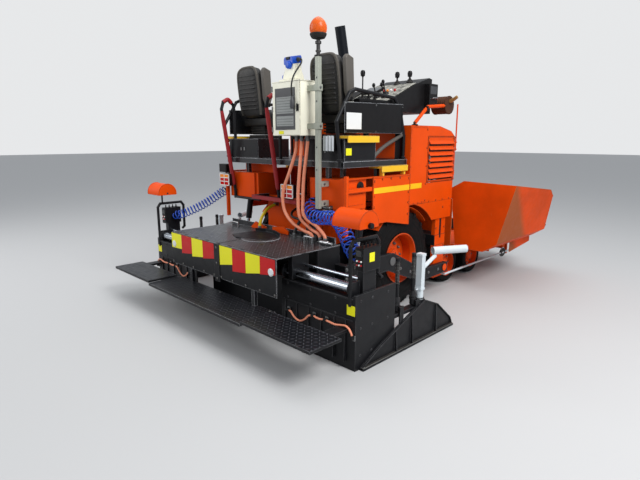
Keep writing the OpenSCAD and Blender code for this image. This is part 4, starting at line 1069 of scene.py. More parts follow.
class PAVER_OT_sides(bpy.types.Operator):
    """Side panels with their stripe, tanks, steps and the tow point columns"""

    bl_idname = "paver.sides"
    bl_label = "Sides, tanks and steps"

    def execute(self, context):
        repaint("orange", "side_panels rear_tanks")
        repaint("step_yellow", "yellow_steps")
        stripe = Shape().box(935.2, 936.8, -538, 64, 1250, 1305)
        stripe.pair("side_stripe", ROOT, "stripe_yellow", bevel=0.5)
        fold = Shape().boxes(
            (935.2, 938, -543, 64, 1396, 1409), (935.2, 938, -543, -530, 958, 1396),
            (935.2, 938, 52, 64, 888, 1396)
        )
        fold.paint(1).lathe([(897, 0), (897, 46), (905, 46), (909, 40), (909, 0)], (0, -690, 1330), "x", 32)
        fold.lathe([(909, 14), (919, 14), (919, 0)], (0, -690, 1330), "x", 6)
        fold.paint(0).boxes(
            (897, 899, -860, -640, 1160, 1163), (897, 899, -860, -640, 1262, 1265),
            (905.2, 908, 640, 860, 562, 678)
        )
        fold.mirrored().place("side_folds", ROOT, "orange dark_plastic", bevel=0.9)
        spots = grid("+x", 936, (-520, 40), (1000, 1120, 1230, 1370))
        spots += grid("+x", 936, (-400, -260, -110), 1385)
        spots += grid("+x", 906, (662, 838), (230, 330, 470, 540, 760, 900, 1020))
        spots += grid("+x", 921, (760, 920), 1000)
        bolts(spots, "side_bolts", ROOT, "orange", 9, 7, both=True)
        tread_rings((822, -880, 1790.2), (4, 17), (28, 26), "upper_step_rings")
        tread_rings((776, -386, 1505.2), (6, 16), (27, 26), "lower_step_rings")
        column = Shape().box(868, 892, 735, 765, 420, 1040)
        column.rod((880, 750, 640), (880, 750, 1030), 32, 24)
        column.paint(1).rod((880, 750, 345), (880, 750, 640), 16, 20)
        column.mirrored().place("levelling_cylinders", ROOT, "screed_black chrome", bevel=1.5)
        return {"FINISHED"}


def tread_rings(start, counts, pitch, name):
    """Raised rings that keep a boot from slipping, over a step on both sides of the machine."""
    x, y, z = start
    stud = Shape().lathe([(z, 5), (z + 2.6, 6), (z + 2.6, 9), (z, 10.5)], (x, y, 0), "z", 10)
    line = grown(
        item_mesh(stud), tree_row(),
        {"Count": counts[0], "Step": (pitch[0] / 1000, 0, 0), "Material": finish("step_yellow")}, "line"
    )
    field = {"Count": counts[1], "Step": (0, pitch[1] / 1000, 0), "Material": finish("step_yellow")}
    made = grown(line, tree_row(), field, name)
    for word, side in SIDES:
        mirror_mesh(made.copy(), side, f"{name}_{word}", ROOT, "step_yellow")


class PAVER_OT_hopper(bpy.types.Operator):
    """Hopper with its wings, rubber flaps, conveyor chains and push rollers"""

    bl_idname = "paver.hopper"
    bl_label = "Hopper"

    def execute(self, context):
        repaint("orange_hopper", "hopper_body")
        repaint("orange_wing", "hopper_wing")
        repaint("worn_steel", "push_roller conveyor")
        wing = Shape()
        # Folded lip along the outer wall's top, and stiffening ribs under the floor
        top = [(1100, 1263), (2220, 1140), (2395, 1040)]
        for (y0, z0), (y1, z1) in zip(top, top[1:]):
            out0, out1 = wall_x(z0), wall_x(z1)
            wing.loft([
                [(o - 11, y, z - 3), (o + 2, y, z - 3), (o + 2, y, z + 0.5), (o - 11, y, z + 0.5)]
                for o, y, z in ((out0, y0 + 2, z0), (out1, y1, z1))
            ])
        for y in (1330, 1700, 2070, 2400):
            wing.loft([
                [(930, y + k, 473), (1243, y + k, 464), (1243, y + k, 432), (930, y + k, 446)]
                for k in (0, 8)
            ])
        wing.pair("wing_trim", "hopper_wing", "orange_hopper", bevel=1)
        flap = Shape().prism([
            (1285, 484), (1432, 582), (1452, 640), (1428, 640), (1400, 600), (1275, 520)
        ], "y", 2528, 2545)
        flap.pair("wing_rubber", "hopper_wing", "rubber", bevel=1.5)
        spots = [(1300 + 36 * k, 2546, 503 + 24 * k, "+y") for k in range(4)]
        bolt_pair(spots, "wing_rubber_bolts", "hopper_wing", "zinc", 8, 6)
        front = Shape().prism([
            (-845, 548), (845, 548), (845, 430), (300, 400), (-300, 400), (-845, 430)
        ], "y", 2568, 2586)
        front.place("front_flap", ROOT, "rubber", bevel=1)
        bolts(grid("+y", range(-800, 801, 200), 2601, 520), "front_flap_bolts", ROOT, "zinc", 10, 7)
        chain = Shape()
        for s in (-290, 290):
            for x in (s - 22.5, s + 17.5):
                chain.prism([
                    (-490, 366), (-484, 360), (-464, 360), (-458, 366), (-464, 374), (-484, 374)
                ], "x", x, x + 5)
            chain.rod((s - 25, -474, 367), (s + 25, -474, 367), 7, 10)
        row(chain, 34, (0, 90, 0), "conveyor_chain", ROOT, "worn_steel")
        bar = Shape().prism([(-492, 366.2), (-448, 366.2), (-454, 378), (-486, 378)], "x", -266, 266)
        row(bar, 17, (0, 180, 0), "conveyor_bars", ROOT, "worn_steel")
        caps = Shape()
        for x in (50, 834):
            caps.disc(x, x + 12, 26, (0, 2880, 300), "x", 6)
        caps.mirrored().place("roller_caps", ROOT, "zinc", bevel=1)
        plate = Shape().boxes((-700, 700, 2680.3, 2683, 228, 252), (-700, 700, 2680.3, 2683, 388, 400))
        plate.place("push_beam_edges", ROOT, "orange_hopper", bevel=0.8)
        return {"FINISHED"}


def wall_x(z):
    """The X of the wing's outer wall at a height."""
    return 1437 + (1615 - 1437) * (z - 578) / (1263 - 578)


AUGER_Y, AUGER_Z = -738, 236


class PAVER_OT_running_gear(bpy.types.Operator):
    """Frame, final drives, bogies and augers"""

    bl_idname = "paver.running_gear"
    bl_label = "Frame, axles and augers"

    def execute(self, context):
        repaint("frame_dark", "chassis_frame running_gear")
        repaint("bitumen", "auger")
        # The flight's worn edge: 24 points to each turn, 250 mm further out
        line = []
        for k in range(66):
            x, a = 85 + 250 * k / 24, TURN * k / 24
            line.append((x + 7, AUGER_Y + 147.5 * math.cos(a), AUGER_Z + 147.5 * math.sin(a)))
        Shape().tube(line, 3.4, 6).pair("flight_edge", "auger", "worn_steel", angle=60)
        bolt_pair(grid("+z", (120, 370, 620), AUGER_Y, 275), "flight_bolts", "auger", "worn_steel", 9, 8)
        drive = Shape().lathe([(600, 119), (606, 150), (622, 150), (628, 119)], (0, 0, AXLE_Z), "x", 40)
        drive.mirrored().place("drive_flanges", ROOT, "frame_dark", bevel=1.5)
        return {"FINISHED"}
# ---- operator's place


class PAVER_OT_platform(bpy.types.Operator):
    """Platform, cabinets, weather panels, handrails with sleeves, lamps and the tray"""

    bl_idname = "paver.platform"
    bl_label = "Platform and handrails"

    def execute(self, context):
        repaint("deck_tread", "platform")
        repaint("screed_black", "handrails")
        repaint("pale_grey", "guide_rod")
        cab = Shape()
        for x0, x1 in ((366, 616), (622, 870)):
            cab.box(x0, x1, -897, -890.3, 1572, 1758)
        cab.box(880.2, 884, -880, -460, 1572, 1758)
        cab.paint(1)
        for x in (590, 648):
            cab.box(x - 9, x + 9, -902, -897, 1640, 1676)
        cab.paint(2).box(884, 885.2, -876, -800, 1618, 1680)
        cab.mirrored().place("cabinet_doors", ROOT, "screed_black zinc block_yellow", bevel=1.2)
        panel = Shape().prism([(-880, 1822), (-26, 1822), (-26, 2092), (-880, 2073)], "x", 875.6, 877.4)
        panel.paint(1).box(877.4, 879.4, -868, -662, 1848, 1992)
        panel.paint(0).boxes(
            (877.4, 880, -880, -868, 1822, 2070), (877.4, 880, -38, -26, 1822, 2090),
            (877.4, 880, -868, -38, 1822, 1834)
        )
        panel.mirrored().place("weather_panels", ROOT, "dark_plastic blank_plate", bevel=0.8)
        spots = grid("+x", 878, (-874, -450, -32), (1828, 2070))
        bolts(spots, "panel_bolts", ROOT, "zinc", 6, 5, both=True)
        for name, x in (("left", -785), ("right", -12)):
            sleeve = Shape()
            line = smoothed([(x, -915, 1255), (x, -938, 1400), (x, -988, 1720), (x, -1042, 2062)], 5)
            sizes = [21.5 + (1.2 if i % 2 else 0) for i in range(len(line))]
            sizes[0] = sizes[-1] = 18
            sleeve.tube(line, sizes, 18)
            top = smoothed([(x, -1022, 2152), (x, -990, 2172), (x, -955, 2185), (x, -915, 2152)], 4)
            sleeve.tube(top, 21.8, 18)
            sleeve.place(f"rail_sleeve_{name}", ROOT, "sleeve_red", angle=50)
        clamp = Shape()
        for y in (-922.3, 40):
            clamp.collar(1566, 1584, 17.4, 26, (852, y, 0), "z", 24)
        clamp.mirrored().place("rail_clamps", ROOT, "screed_black", bevel=1)
        lamp = Shape()
        for i, x in enumerate((-863, 211)):
            z0 = 1245 - i * 55
            lamp.paint(3).box(x - 88, x + 88, -985, -945, z0, z0 + 133)
            lamp.paint(0)
            for a in (-88, -4, 80):
                lamp.box(x + a, x + a + 8, -995, -984.5, z0, z0 + 133)
            for c in (0, 42, 84, 125):
                lamp.box(x - 88, x + 88, -994.6, -984.6, z0 + c, z0 + c + 8)
            for k in (0, 1, 2):
                lamp.paint(2 if k == 2 else 1)
                for a in (-80, 4):
                    lamp.box(x + a, x + a + 76, -992.5, -984.7, z0 + 8 + 42 * k, z0 + 42 * k + 42)
        lamp.paint(4).boxes(
            (-883, -843, -945, -880.3, 1290, 1330), (201, 221, -945, -740, 1240, 1275),
            (201, 221, -760, -740, 1140.3, 1240), (630, 660, -900, -890.3, 1690, 1730)
        )
        # Dark box above the left cluster
        lamp.paint(3).boxes((-1000, -858, -962, -896, 1392, 1484), (-992, -866, -966, -961, 1400, 1476))
        lamp.paint(4).box(-905, -865, -930, -880.3, 1376, 1396)
        # Work lamp beside the mast
        lamp.paint(3).loft([
            [(x0, y, z0), (x1, y, z0), (x1, y, z1), (x0, y, z1)]
            for y, x0, x1, z0, z1 in (
                (-902, 724, 794, 1684, 1758), (-918, 702, 818, 1662, 1784), (-968, 690, 828, 1650, 1796)
            )
        ])
        lamp.box(682, 740, -920, -908, 1712, 1730)
        lamp.paint(5).box(697, 821, -974, -967, 1657, 1789)
        lamp.paint(4)
        for x in (722, 760, 798):
            lamp.rod((x, -978, 1648), (x, -978, 1798), 2.4, 8)
        lamp.place(
            "rear_lamps", ROOT, "white_plastic red_lens amber_lens dark_plastic zinc clear_lens", "lamps",
            bevel=1.2
        )
        tray = Shape().boxes((-404, 305, -957.5, -956.1, 1132, 1174), (-404, 305, -957.5, -948, 1172, 1175))
        for x in (-403.5, 303.2):
            tray.box(x, x + 1.4, -956, -722, 1132, 1173)
        tray.place("tray_edge", ROOT, "sleeve_red")
        paddle = Shape()
        angles = [TURN * k / 40 for k in range(40)]
        paddle.prism([(2380 + 84 * math.cos(a), 200 + 62 * math.sin(a)) for a in angles], "x", 948.5, 961.5)
        for y in (2330, 2430):
            paddle.box(940, 970, y - 12, y + 12, 180, 210)
        paddle.place("rod_paddle", ROOT, "rubber", bevel=2)
        return {"FINISHED"}


class PAVER_OT_console(bpy.types.Operator):
    """Control desk with its screen, switches, levers and side box"""

    bl_idname = "paver.console"
    bl_label = "Control desk"

    def execute(self, context):
        repaint("dark_plastic", "console")
        cover = Shape().boxes(
            (-300, 820, -63, -60.2, 1566, 2026), (-300, 820, -66, -60.2, 1566, 1578),
            (-300, 820, -66, -60.2, 2014, 2026), (255, 261, -66, -60.2, 1566, 2026)
        )
        cover.paint(1).bend([
            (843, -440, 1573), (843, -424, 1600), (843, -270, 1690), (843, -60, 1772), (843, 10, 1800)
        ], 5, 19, 18)
        cover.paint(2).boxes((828, 862, 8, 22.8, 1786, 1816), (820, 866, -462, -418, 1572, 1582))
        cover.place("console_cover", ROOT, "orange grey_plastic screed_black", bevel=0.8)
        part = Shape()
        # Panels on the desks' sloping faces, towards the operator
        for x0, x1, a, b in ((262, 808, (-196, 2124), (290, 2330)), (-548, 168, (-146, 2114), (205, 2284))):
            (y0, z0), (y1, z1) = a, b
            part.paint(6 if x0 > 0 else 0).loft([
                [(x0, y0, z0), (x1, y0, z0), (x1, y1, z1), (x0, y1, z1)],
                [(x0, y0 - 2, z0 + 5), (x1, y0 - 2, z0 + 5), (x1, y1 - 2, z1 + 5), (x0, y1 - 2, z1 + 5)]
            ])
        slope = Vector((0, 290 + 196, 2330 - 2124)).normalized()
        out = Vector((0, -slope.z, slope.y))
        base = Vector((0, -196, 2124)) + out * 6

        def on_desk(x, along, lift):
            p = base + slope * along + out * lift
            return (x, p.y, p.z)

        def plate(x0, x1, a0, a1, h):
            part.loft([
                [on_desk(x0, a0, 0), on_desk(x1, a0, 0), on_desk(x1, a1, 0), on_desk(x0, a1, 0)],
                [on_desk(x0, a0, h), on_desk(x1, a0, h), on_desk(x1, a1, h), on_desk(x0, a1, h)]
            ])

        part.paint(1)
        plate(300, 500, 250, 400, 26)
        part.paint(2)
        plate(312, 488, 262, 388, 27.5)
        part.paint(1)
        for k in range(8):
            for j in range(3):
                plate(300 + 27 * k, 318 + 27 * k, 70 + 48 * j, 98 + 48 * j, 7)
        for k, colour in enumerate((3, 4, 5, 3)):
            part.paint(colour)
            p, q = Vector(on_desk(560 + 46 * k, 300, 0)), Vector(on_desk(560 + 46 * k, 300, 20))
            part.tube([p, q, q + (q - p) * 0.1], [13, 13, 9], 18)
        part.paint(1)
        for x, along in ((590, 120), (690, 120), (640, 215)):
            p = Vector(on_desk(x, along, 0))
            part.tube([p, p + out * 16, p + out * 30], [36, 30, 10], 20)
            part.tube([p + out * 26, p + out * 118], 6, 12)
            part.ball(p + out * 128, 17, (1, 1, 1.3))
        part.place(
            "desk_controls", ROOT,
            "frame_dark dark_plastic screen red_lens amber_lens white_plastic mottled", bevel=1
        )
        knobs = Shape()
        for x, y in ((380, -60), (560, 300), (700, 330)):
            knobs.lathe([(2405, 9), (2408, 22), (2440, 26), (2462, 20), (2470, 0)], (x, y, 0), "z", 24)
            knobs.collar(2398, 2406, 7.2, 11, (x, y, 0), "z", 16)
        knobs.paint(1)
        for x, y, z in ((380, -60, 2128), (560, 300, 2332), (700, 330, 2345)):
            knobs.lathe([
                (z, 38), (z + 14, 36), (z + 18, 26), (z + 34, 24), (z + 38, 15), (z + 58, 8)
            ], (x, y, 0), "z", 24, closed=False)
        knobs.place("lever_knobs", ROOT, "dark_plastic rubber", angle=45)
        box = Shape().box(821, 884, 436, 594, 2116, 2334)
        box.paint(1).bend([
            (884, 470, 2180), (906, 470, 2184), (912, 480, 2190), (912, 545, 2190), (906, 555, 2184),
            (884, 555, 2180)
        ], 3, 6, 12)
        box.paint(2).box(884, 885.4, 455, 575, 2230, 2310)
        box.place("side_control_box", ROOT, "dark_plastic bright_steel panel_grey", bevel=3)
        arm = Shape().box(762, 833, -640, -200, 2100.3, 2126)
        arm.paint(1)
        for k in range(3):
            arm.lathe([
                (2126, 0), (2126, 20), (2132, 20), (2136, 14), (2164, 8), (2172, 13), (2180, 13), (2186, 0)
            ], (797, -560 + 90 * k, 0), "z", 20)
        arm.paint(2).box(774, 820, -340, -240, 2126, 2131)
        arm.place("arm_shelf", ROOT, "dark_plastic rubber screen", bevel=4)
        return {"FINISHED"}


def inflated(shape, name, voxel=0.006, cap=0.014, frames=16, pressure=4.0):
    """A drawn pad swollen by cloth simulation, as a plain mesh in metres."""
    mesh = item_mesh(shape)
    pad = bpy.data.objects.new(name, mesh)
    bpy.context.scene.collection.objects.link(pad)
    step = pad.modifiers.new("voxels", "REMESH")
    step.mode, step.voxel_size = "VOXEL", voxel
    solid = evaluated(pad, name)
    pad.modifiers.clear()
    pad.data = solid
    rest = [v.co.copy() for v in solid.vertices]
    cloth = pad.modifiers.new("cloth", "CLOTH")
    cloth.settings.use_pressure, cloth.settings.uniform_pressure_force = True, pressure
    cloth.settings.effector_weights.gravity = 0
    cloth.settings.tension_stiffness = cloth.settings.compression_stiffness = 22
    cloth.point_cache.frame_start, cloth.point_cache.frame_end = 1, frames
    scene = bpy.context.scene
    for f in range(1, frames + 1):
        scene.frame_set(f)
    made = evaluated(pad, name)
    scene.frame_set(1)
    for v, old in zip(made.vertices, rest):
        move = v.co - old
        if move.length > cap:
            v.co = old + move.normalized() * cap
    bpy.data.objects.remove(pad)
    return made


# The seats' reference point
SEAT_Y = -778


class PAVER_OT_seats(bpy.types.Operator):
    """Two seats with moulded shells, bellows, armrests and stuffed cushions"""

    bl_idname = "paver.seats"
    bl_label = "Seats"

    def execute(self, context):
        pan, back = Shape(), Shape()
        pan.prism([
            (104, 2000), (96, 2030), (110, 2066), (520, 2070), (552, 2050), (556, 2016), (540, 1998)
        ], "x", -172, 172)
        back.prism([(33, 2094), (-2, 2414), (40, 2418), (74, 2094)], "x", -152, 152)
        cushions = []
        for shape, label in ((pan, "pan"), (back, "back")):
            bmesh.ops.subdivide_edges(shape.mesh, edges=shape.mesh.edges, cuts=1)
            cushions.append((label, inflated(shape, f"cushion_{label}")))
        for word, x in (("left", -620), ("right", 545)):
            move = Matrix.Translation((x / 1000, SEAT_Y / 1000, 0))
            for label, mesh in cushions:
                own = mesh.copy()
                own.transform(move)
                # Sewn channels pressed into the pad
                for v in own.vertices:
                    across = (v.co.x - x / 1000) * 1000
                    if label == "pan" and v.co.z > 2.04:
                        v.co.z -= 0.006 * math.exp(-((abs(across) - 88) / 7) ** 2)
                    if label == "back" and v.co.y > -1.205:
                        z = v.co.z * 1000
                        seams = (2180, 2265, 2350)
                        v.co.y -= sum(0.005 * math.exp(-((z - line) / 8) ** 2) for line in seams)
                made = finish_piece(
                    own, f"cushion_{label}_{word}", ROOT, "seat_cloth", "seat_cushions", subdivide=1,
                    angle=180
                )
            seat = Shape()
            ring_rows = []
            # Backrest shell: thick sides, thin middle, lofted up the back
            for y, z, half, deep in (
                (10, 1990, 176, 52), (-8, 2060, 188, 58), (-20, 2160, 196, 62), (-36, 2290, 197, 60),
                (-50, 2410, 190, 54), (-52, 2480, 172, 46), (-30, 2524, 120, 36)
            ):
                front = SEAT_Y + y + deep + 36
                ring_rows.append([
                    (x - half, SEAT_Y + y + 26, z), (x - half * 0.8, SEAT_Y + y + 4, z),
                    (x - half * 0.3, SEAT_Y + y - 4, z), (x + half * 0.3, SEAT_Y + y - 4, z),
                    (x + half * 0.8, SEAT_Y + y + 4, z), (x + half, SEAT_Y + y + 26, z),
                    (x + half, front, z - 6), (x + half * 0.86, front + 4, z - 6),
                    (x + half * 0.8, SEAT_Y + y + 52, z - 4), (x - half * 0.8, SEAT_Y + y + 52, z - 4),
                    (x - half * 0.86, front + 4, z - 6), (x - half, front, z - 6)
                ])
            seat.loft(ring_rows)
            seat.place(f"seat_shell_{word}", ROOT, "seat_shell", "seats", subdivide=2, angle=180)
            ribs = Shape()
            for k in range(9):
                z = 2072 + 43 * k
                y = -786 - 0.125 * (z - 2040) * (1 - 0.0006 * (z - 2040))
                ribs.loft([
                    [
                        (x - 140, y + 8, z), (x + 140, y + 8, z), (x + 140, y + 8, z + 24),
                        (x - 140, y + 8, z + 24)
                    ],
                    [
                        (x - 132, y - 12, z + 5), (x + 132, y - 12, z + 5), (x + 132, y - 12, z + 19),
                        (x - 132, y - 12, z + 19)
                    ]
                ])
            ribs.paint(1)
            # Paler rim round the ribbed back: a painted highlight along the shell's edge
            edge = [
                (158, -757, 2020), (169, -770, 2100), (173, -782, 2190), (173, -796, 2310),
                (167, -808, 2410), (150, -812, 2472), (108, -806, 2506), (50, -802, 2516)
            ]
            ribs.bend(
                [(x - w, y, z) for w, y, z in edge] + [(x + w, y, z) for w, y, z in edge[::-1]], 3, 14, 12
            )
            ribs.place(f"seat_ribs_{word}", ROOT, "seat_shell seat_piping", bevel=2.5)
            base = Shape().prism([
                (-718, 1925), (-712, 1910), (-235, 1908), (-212, 1930), (-212, 1984), (-718, 1984)
            ], "x", x - 196, x + 196)
            base.paint(1)
            for k in range(7):
                z = 1812 + 14.5 * k
                half = 126 if k % 2 else 112
                base.box(x - half, x + half, -668 - (half - 112), -470 + (half - 112), z, z + 15)
            base.paint(2).box(x - 146, x + 146, -690, -452, 1766.4, 1808)
            base.bend([
                (x - 150, -300, 1904), (x - 150, -190, 1900), (x - 120, -176, 1900), (x + 120, -176, 1900),
                (x + 150, -190, 1900), (x + 150, -300, 1904)
            ], 3, 7, 10)
            base.place(f"seat_base_{word}", ROOT, "seat_shell rubber frame_dark", "seats", bevel=4)
            rest = Shape()
            q = x + 234
            rest.prism([
                (-776, 2185), (-800, 2470), (-770, 2502), (-690, 2472), (-674, 2190), (-706, 2104),
                (-738, 2100)
            ], "x", q - 22, q + 22)
            rest.paint(1).rod((x + 196, -716, 2120), (x + 258, -716, 2120), 24, 24)
            rest.place(
                f"seat_armrest_{word}", ROOT, "grey_plastic dark_plastic", "seats", bevel=9, angle=30
            )
        return {"FINISHED"}


class PAVER_OT_electrical(bpy.types.Operator):
    """Electrical box with its door, vent and sockets, and the mast with its beacon"""

    bl_idname = "paver.electrical"
    bl_label = "Electrical box and mast"

    def execute(self, context):
        box = Shape().boxes(
            (160, 538, -1104, -842, 1793, 2274), (164, 534, -1110, -1104.4, 1797, 2270),
            (156, 542, -1112, -838, 2268, 2278)
        )
        box.paint(1).box(202, 476, -1113, -1110, 1846, 2216)
        # Each vent with thin dark bars across it: painted shade of its slits
        for low, high in ((1878, 1968), (1990, 2138)):
            box.paint(6).box(222, 458, -1115, -1113, low, high)
            box.paint(1)
            for z in range(low + 14, high - 6, 24):
                box.box(232, 448, -1115.8, -1114.8, z, z + 3)
        box.paint(3)
        for z in (1850, 2034, 2216):
            box.rod((160, -1112, z - 24), (160, -1112, z + 24), 7, 12)
        box.paint(2).boxes((500, 524, -1120, -1110, 2010, 2066), (506, 518, -1126, -1120, 2004, 2072))
        box.paint(4).box(250, 318, -1111.6, -1110, 1806, 1836)
        box.paint(3).box(370, 500, -888, -846, 1766.4, 1793)
        box.place(
            "electrical_cabinet", ROOT, "cream panel_grey dark_plastic zinc block_yellow cream vent_grey",
            "electrical_box", bevel=2.5
        )
        gland = Shape().lathe([
            (1760, 12), (1760, 15), (1770, 15), (1771, 19), (1784, 19), (1784, 23), (1792.8, 23),
            (1792.8, 12)
        ], (190, -880, 0), "z", 12)
        row(gland, 5, (34, 0, 0), "cable_glands", ROOT, "dark_plastic")
        socket = Shape().box(190, 410, -1050, -910, 2278.2, 2300)
        socket.loft([
            [
                (x, a, z)
                for x, a in (
                    (315 - w, -1040 + k), (315 + w, -1040 + k), (315 + w, -922 - k), (315 - w, -922 - k)
                )
            ]
            for z, w, k in ((2300, 84, 0), (2334, 80, 2), (2380, 62, 8), (2448, 54, 12))
        ])
        socket.paint(1).loft([
            [
                (x, a, z + (a + 980) * 0.2)
                for x, a in ((315 - w, -1044), (315 + w, -1044), (315 + w, -930), (315 - w, -930))
            ]
            for z, w in ((2440, 56), (2456, 62), (2490, 62), (2508, 50))
        ])
        socket.lathe([(-1030, 34), (-1056, 34), (-1060, 28), (-1060, 0)], (322, 0, 2424), "y", 28)
        socket.lathe([(236, 24), (200, 26), (192, 22), (192, 0)], (0, -990, 2330), "x", 24)
        socket.paint(2).box(290, 340, -1052, -1036, 2470, 2494)
        socket.place("socket_box", ROOT, "cream blue_cap dark_plastic", "electrical_box", bevel=4)
        lead = [
            (376, -980, 2470), (400, -980, 2472), (438, -990, 2462), (468, -1026, 2424), (476, -1082, 2366),
            (474, -1128, 2300), (468, -1144, 2230), (464, -1140, 2170), (462, -1134, 2132)
        ]
        hose("socket_lead", "hose_black", lead, 7, collars=False)
        ends = Shape().lathe([
            (370, 0), (370, 20), (388, 20), (390, 14), (406, 13), (410, 9), (422, 8.4)
        ], (0, -980, 2471), "x", 20, closed=False)
        ends.tube([
            (462, -1132, 2030), (462, -1132, 2046), (462, -1132, 2096), (462, -1133, 2112),
            (462, -1134, 2138)
        ], [16, 21, 21, 14, 8.6], 18)
        ends.place("socket_plugs", ROOT, "panel_grey", angle=40)
        mid, y = 661, -1000
        pole = Shape().box(640, 682, -1021, -979, 1130, 2470)
        for z in (1850, 2180):
            pole.box(538.3, 640, -1020, -980, z, z + 50)
        for z in (1150, 1330):
            pole.box(640, 682, -979, -880.3, z, z + 50)
        for z in (1846, 2176):
            pole.box(632, 690, -1028, -972, z, z + 58)
        pole.paint(1).box(636, 686, -1025, -975, 2464, 2478)
        pole.paint(2).rod((mid, y, 2470), (mid, y, 2612), 17, 24)
        pole.collar(2500, 2516, 17.2, 24, (mid, y, 0), "z", 24)
        pole.collar(2566, 2590, 17.2, 27, (mid, y, 0), "z", 24)
        pole.place("mast_pole", ROOT, "mast_grey frame_dark dark_steel", "mast", bevel=2.5)
        # Painted shade: thin dark patches standing in for the shaded holes of the mast's slots
        slot = Shape().box(655, 667, -1021.8, -1020.8, 1480, 1496)
        row(slot, 5, (0, 0, 200), "mast_slots", ROOT, "panel_grey")
        foot = Shape().lathe([
            (2604, 0), (2604, 30), (2612, 58), (2622, 64), (2636, 72), (2648, 74), (2652, 70), (2652, 0)
        ], (mid, y, 0), "z", 48)
        foot.place("beacon_base", ROOT, "rubber", "mast", bevel=1.5)
        dome = Shape()
        profile = [
            (2646, 60), (2652, 66), (2668, 72), (2690, 74.5), (2712, 73), (2734, 66.5), (2754, 54),
            (2770, 38), (2781, 20), (2786.5, 7), (2787, 0)
        ]
        dome.lathe(profile, (mid, y, 0), "z", 64)
        dome.place("beacon_dome", ROOT, "amber", "mast", angle=60)
        fin = Shape().loft([
            [
                (mid + a, y - 2.2, z), (mid + a, y + 2.2, z), (mid + a + 2.2, y + 1, z),
                (mid + a + 2.2, y - 1, z)
            ]
            for a, z in ((70, 2664), (73.6, 2690), (71, 2718))
        ])
        ring(fin, 40, (mid, y, 2700), (0, 0, 1), "beacon_ribs", ROOT, "amber")
        spots = grid("+x", 690, -1000, (1875, 2205)) + grid("+x", 682, -940, (1175, 1355))
        bolts(spots, "mast_bolts", ROOT)
        return {"FINISHED"}


# ---- screed


class PAVER_OT_tow_arms(bpy.types.Operator):
    """Tow arms with their bolts, and the lift cylinders"""

    bl_idname = "paver.tow_arms"
    bl_label = "Tow arms"

    def execute(self, context):
        repaint("screed_black", "tow_arms lift_barrels base_screed")
        repaint("chrome", "lift_rods")
        edge = Shape()
        for line in (
            [(815, 352), (300, 362), (-261, 636), (-978, 636)],
            [(815, 248), (240, 238), (-330, 472), (-978, 472)]
        ):
            edge.strips(line, 984.2, 988, -7, 5)
        edge.paint(1).lathe([
            (984.2, 0), (984.2, 44), (989, 44), (990, 40), (990, 0)
        ], (0, -262, 552), "x", 30)
        edge.mirrored().place("arm_edges", "screed", "screed_black zinc", bevel=1.5)
        spots = grid("+x", 985, (-960, -900, -840), (510, 600))
        below = (-180, 480), (-120, 450), (60, 380), (150, 340), (420, 300), (620, 300)
        spots += [(985, y, z, "+x") for y, z in below]
        bolts(spots, "arm_bolts", "screed", "zinc", 12, 9, both=True)
        return {"FINISHED"}


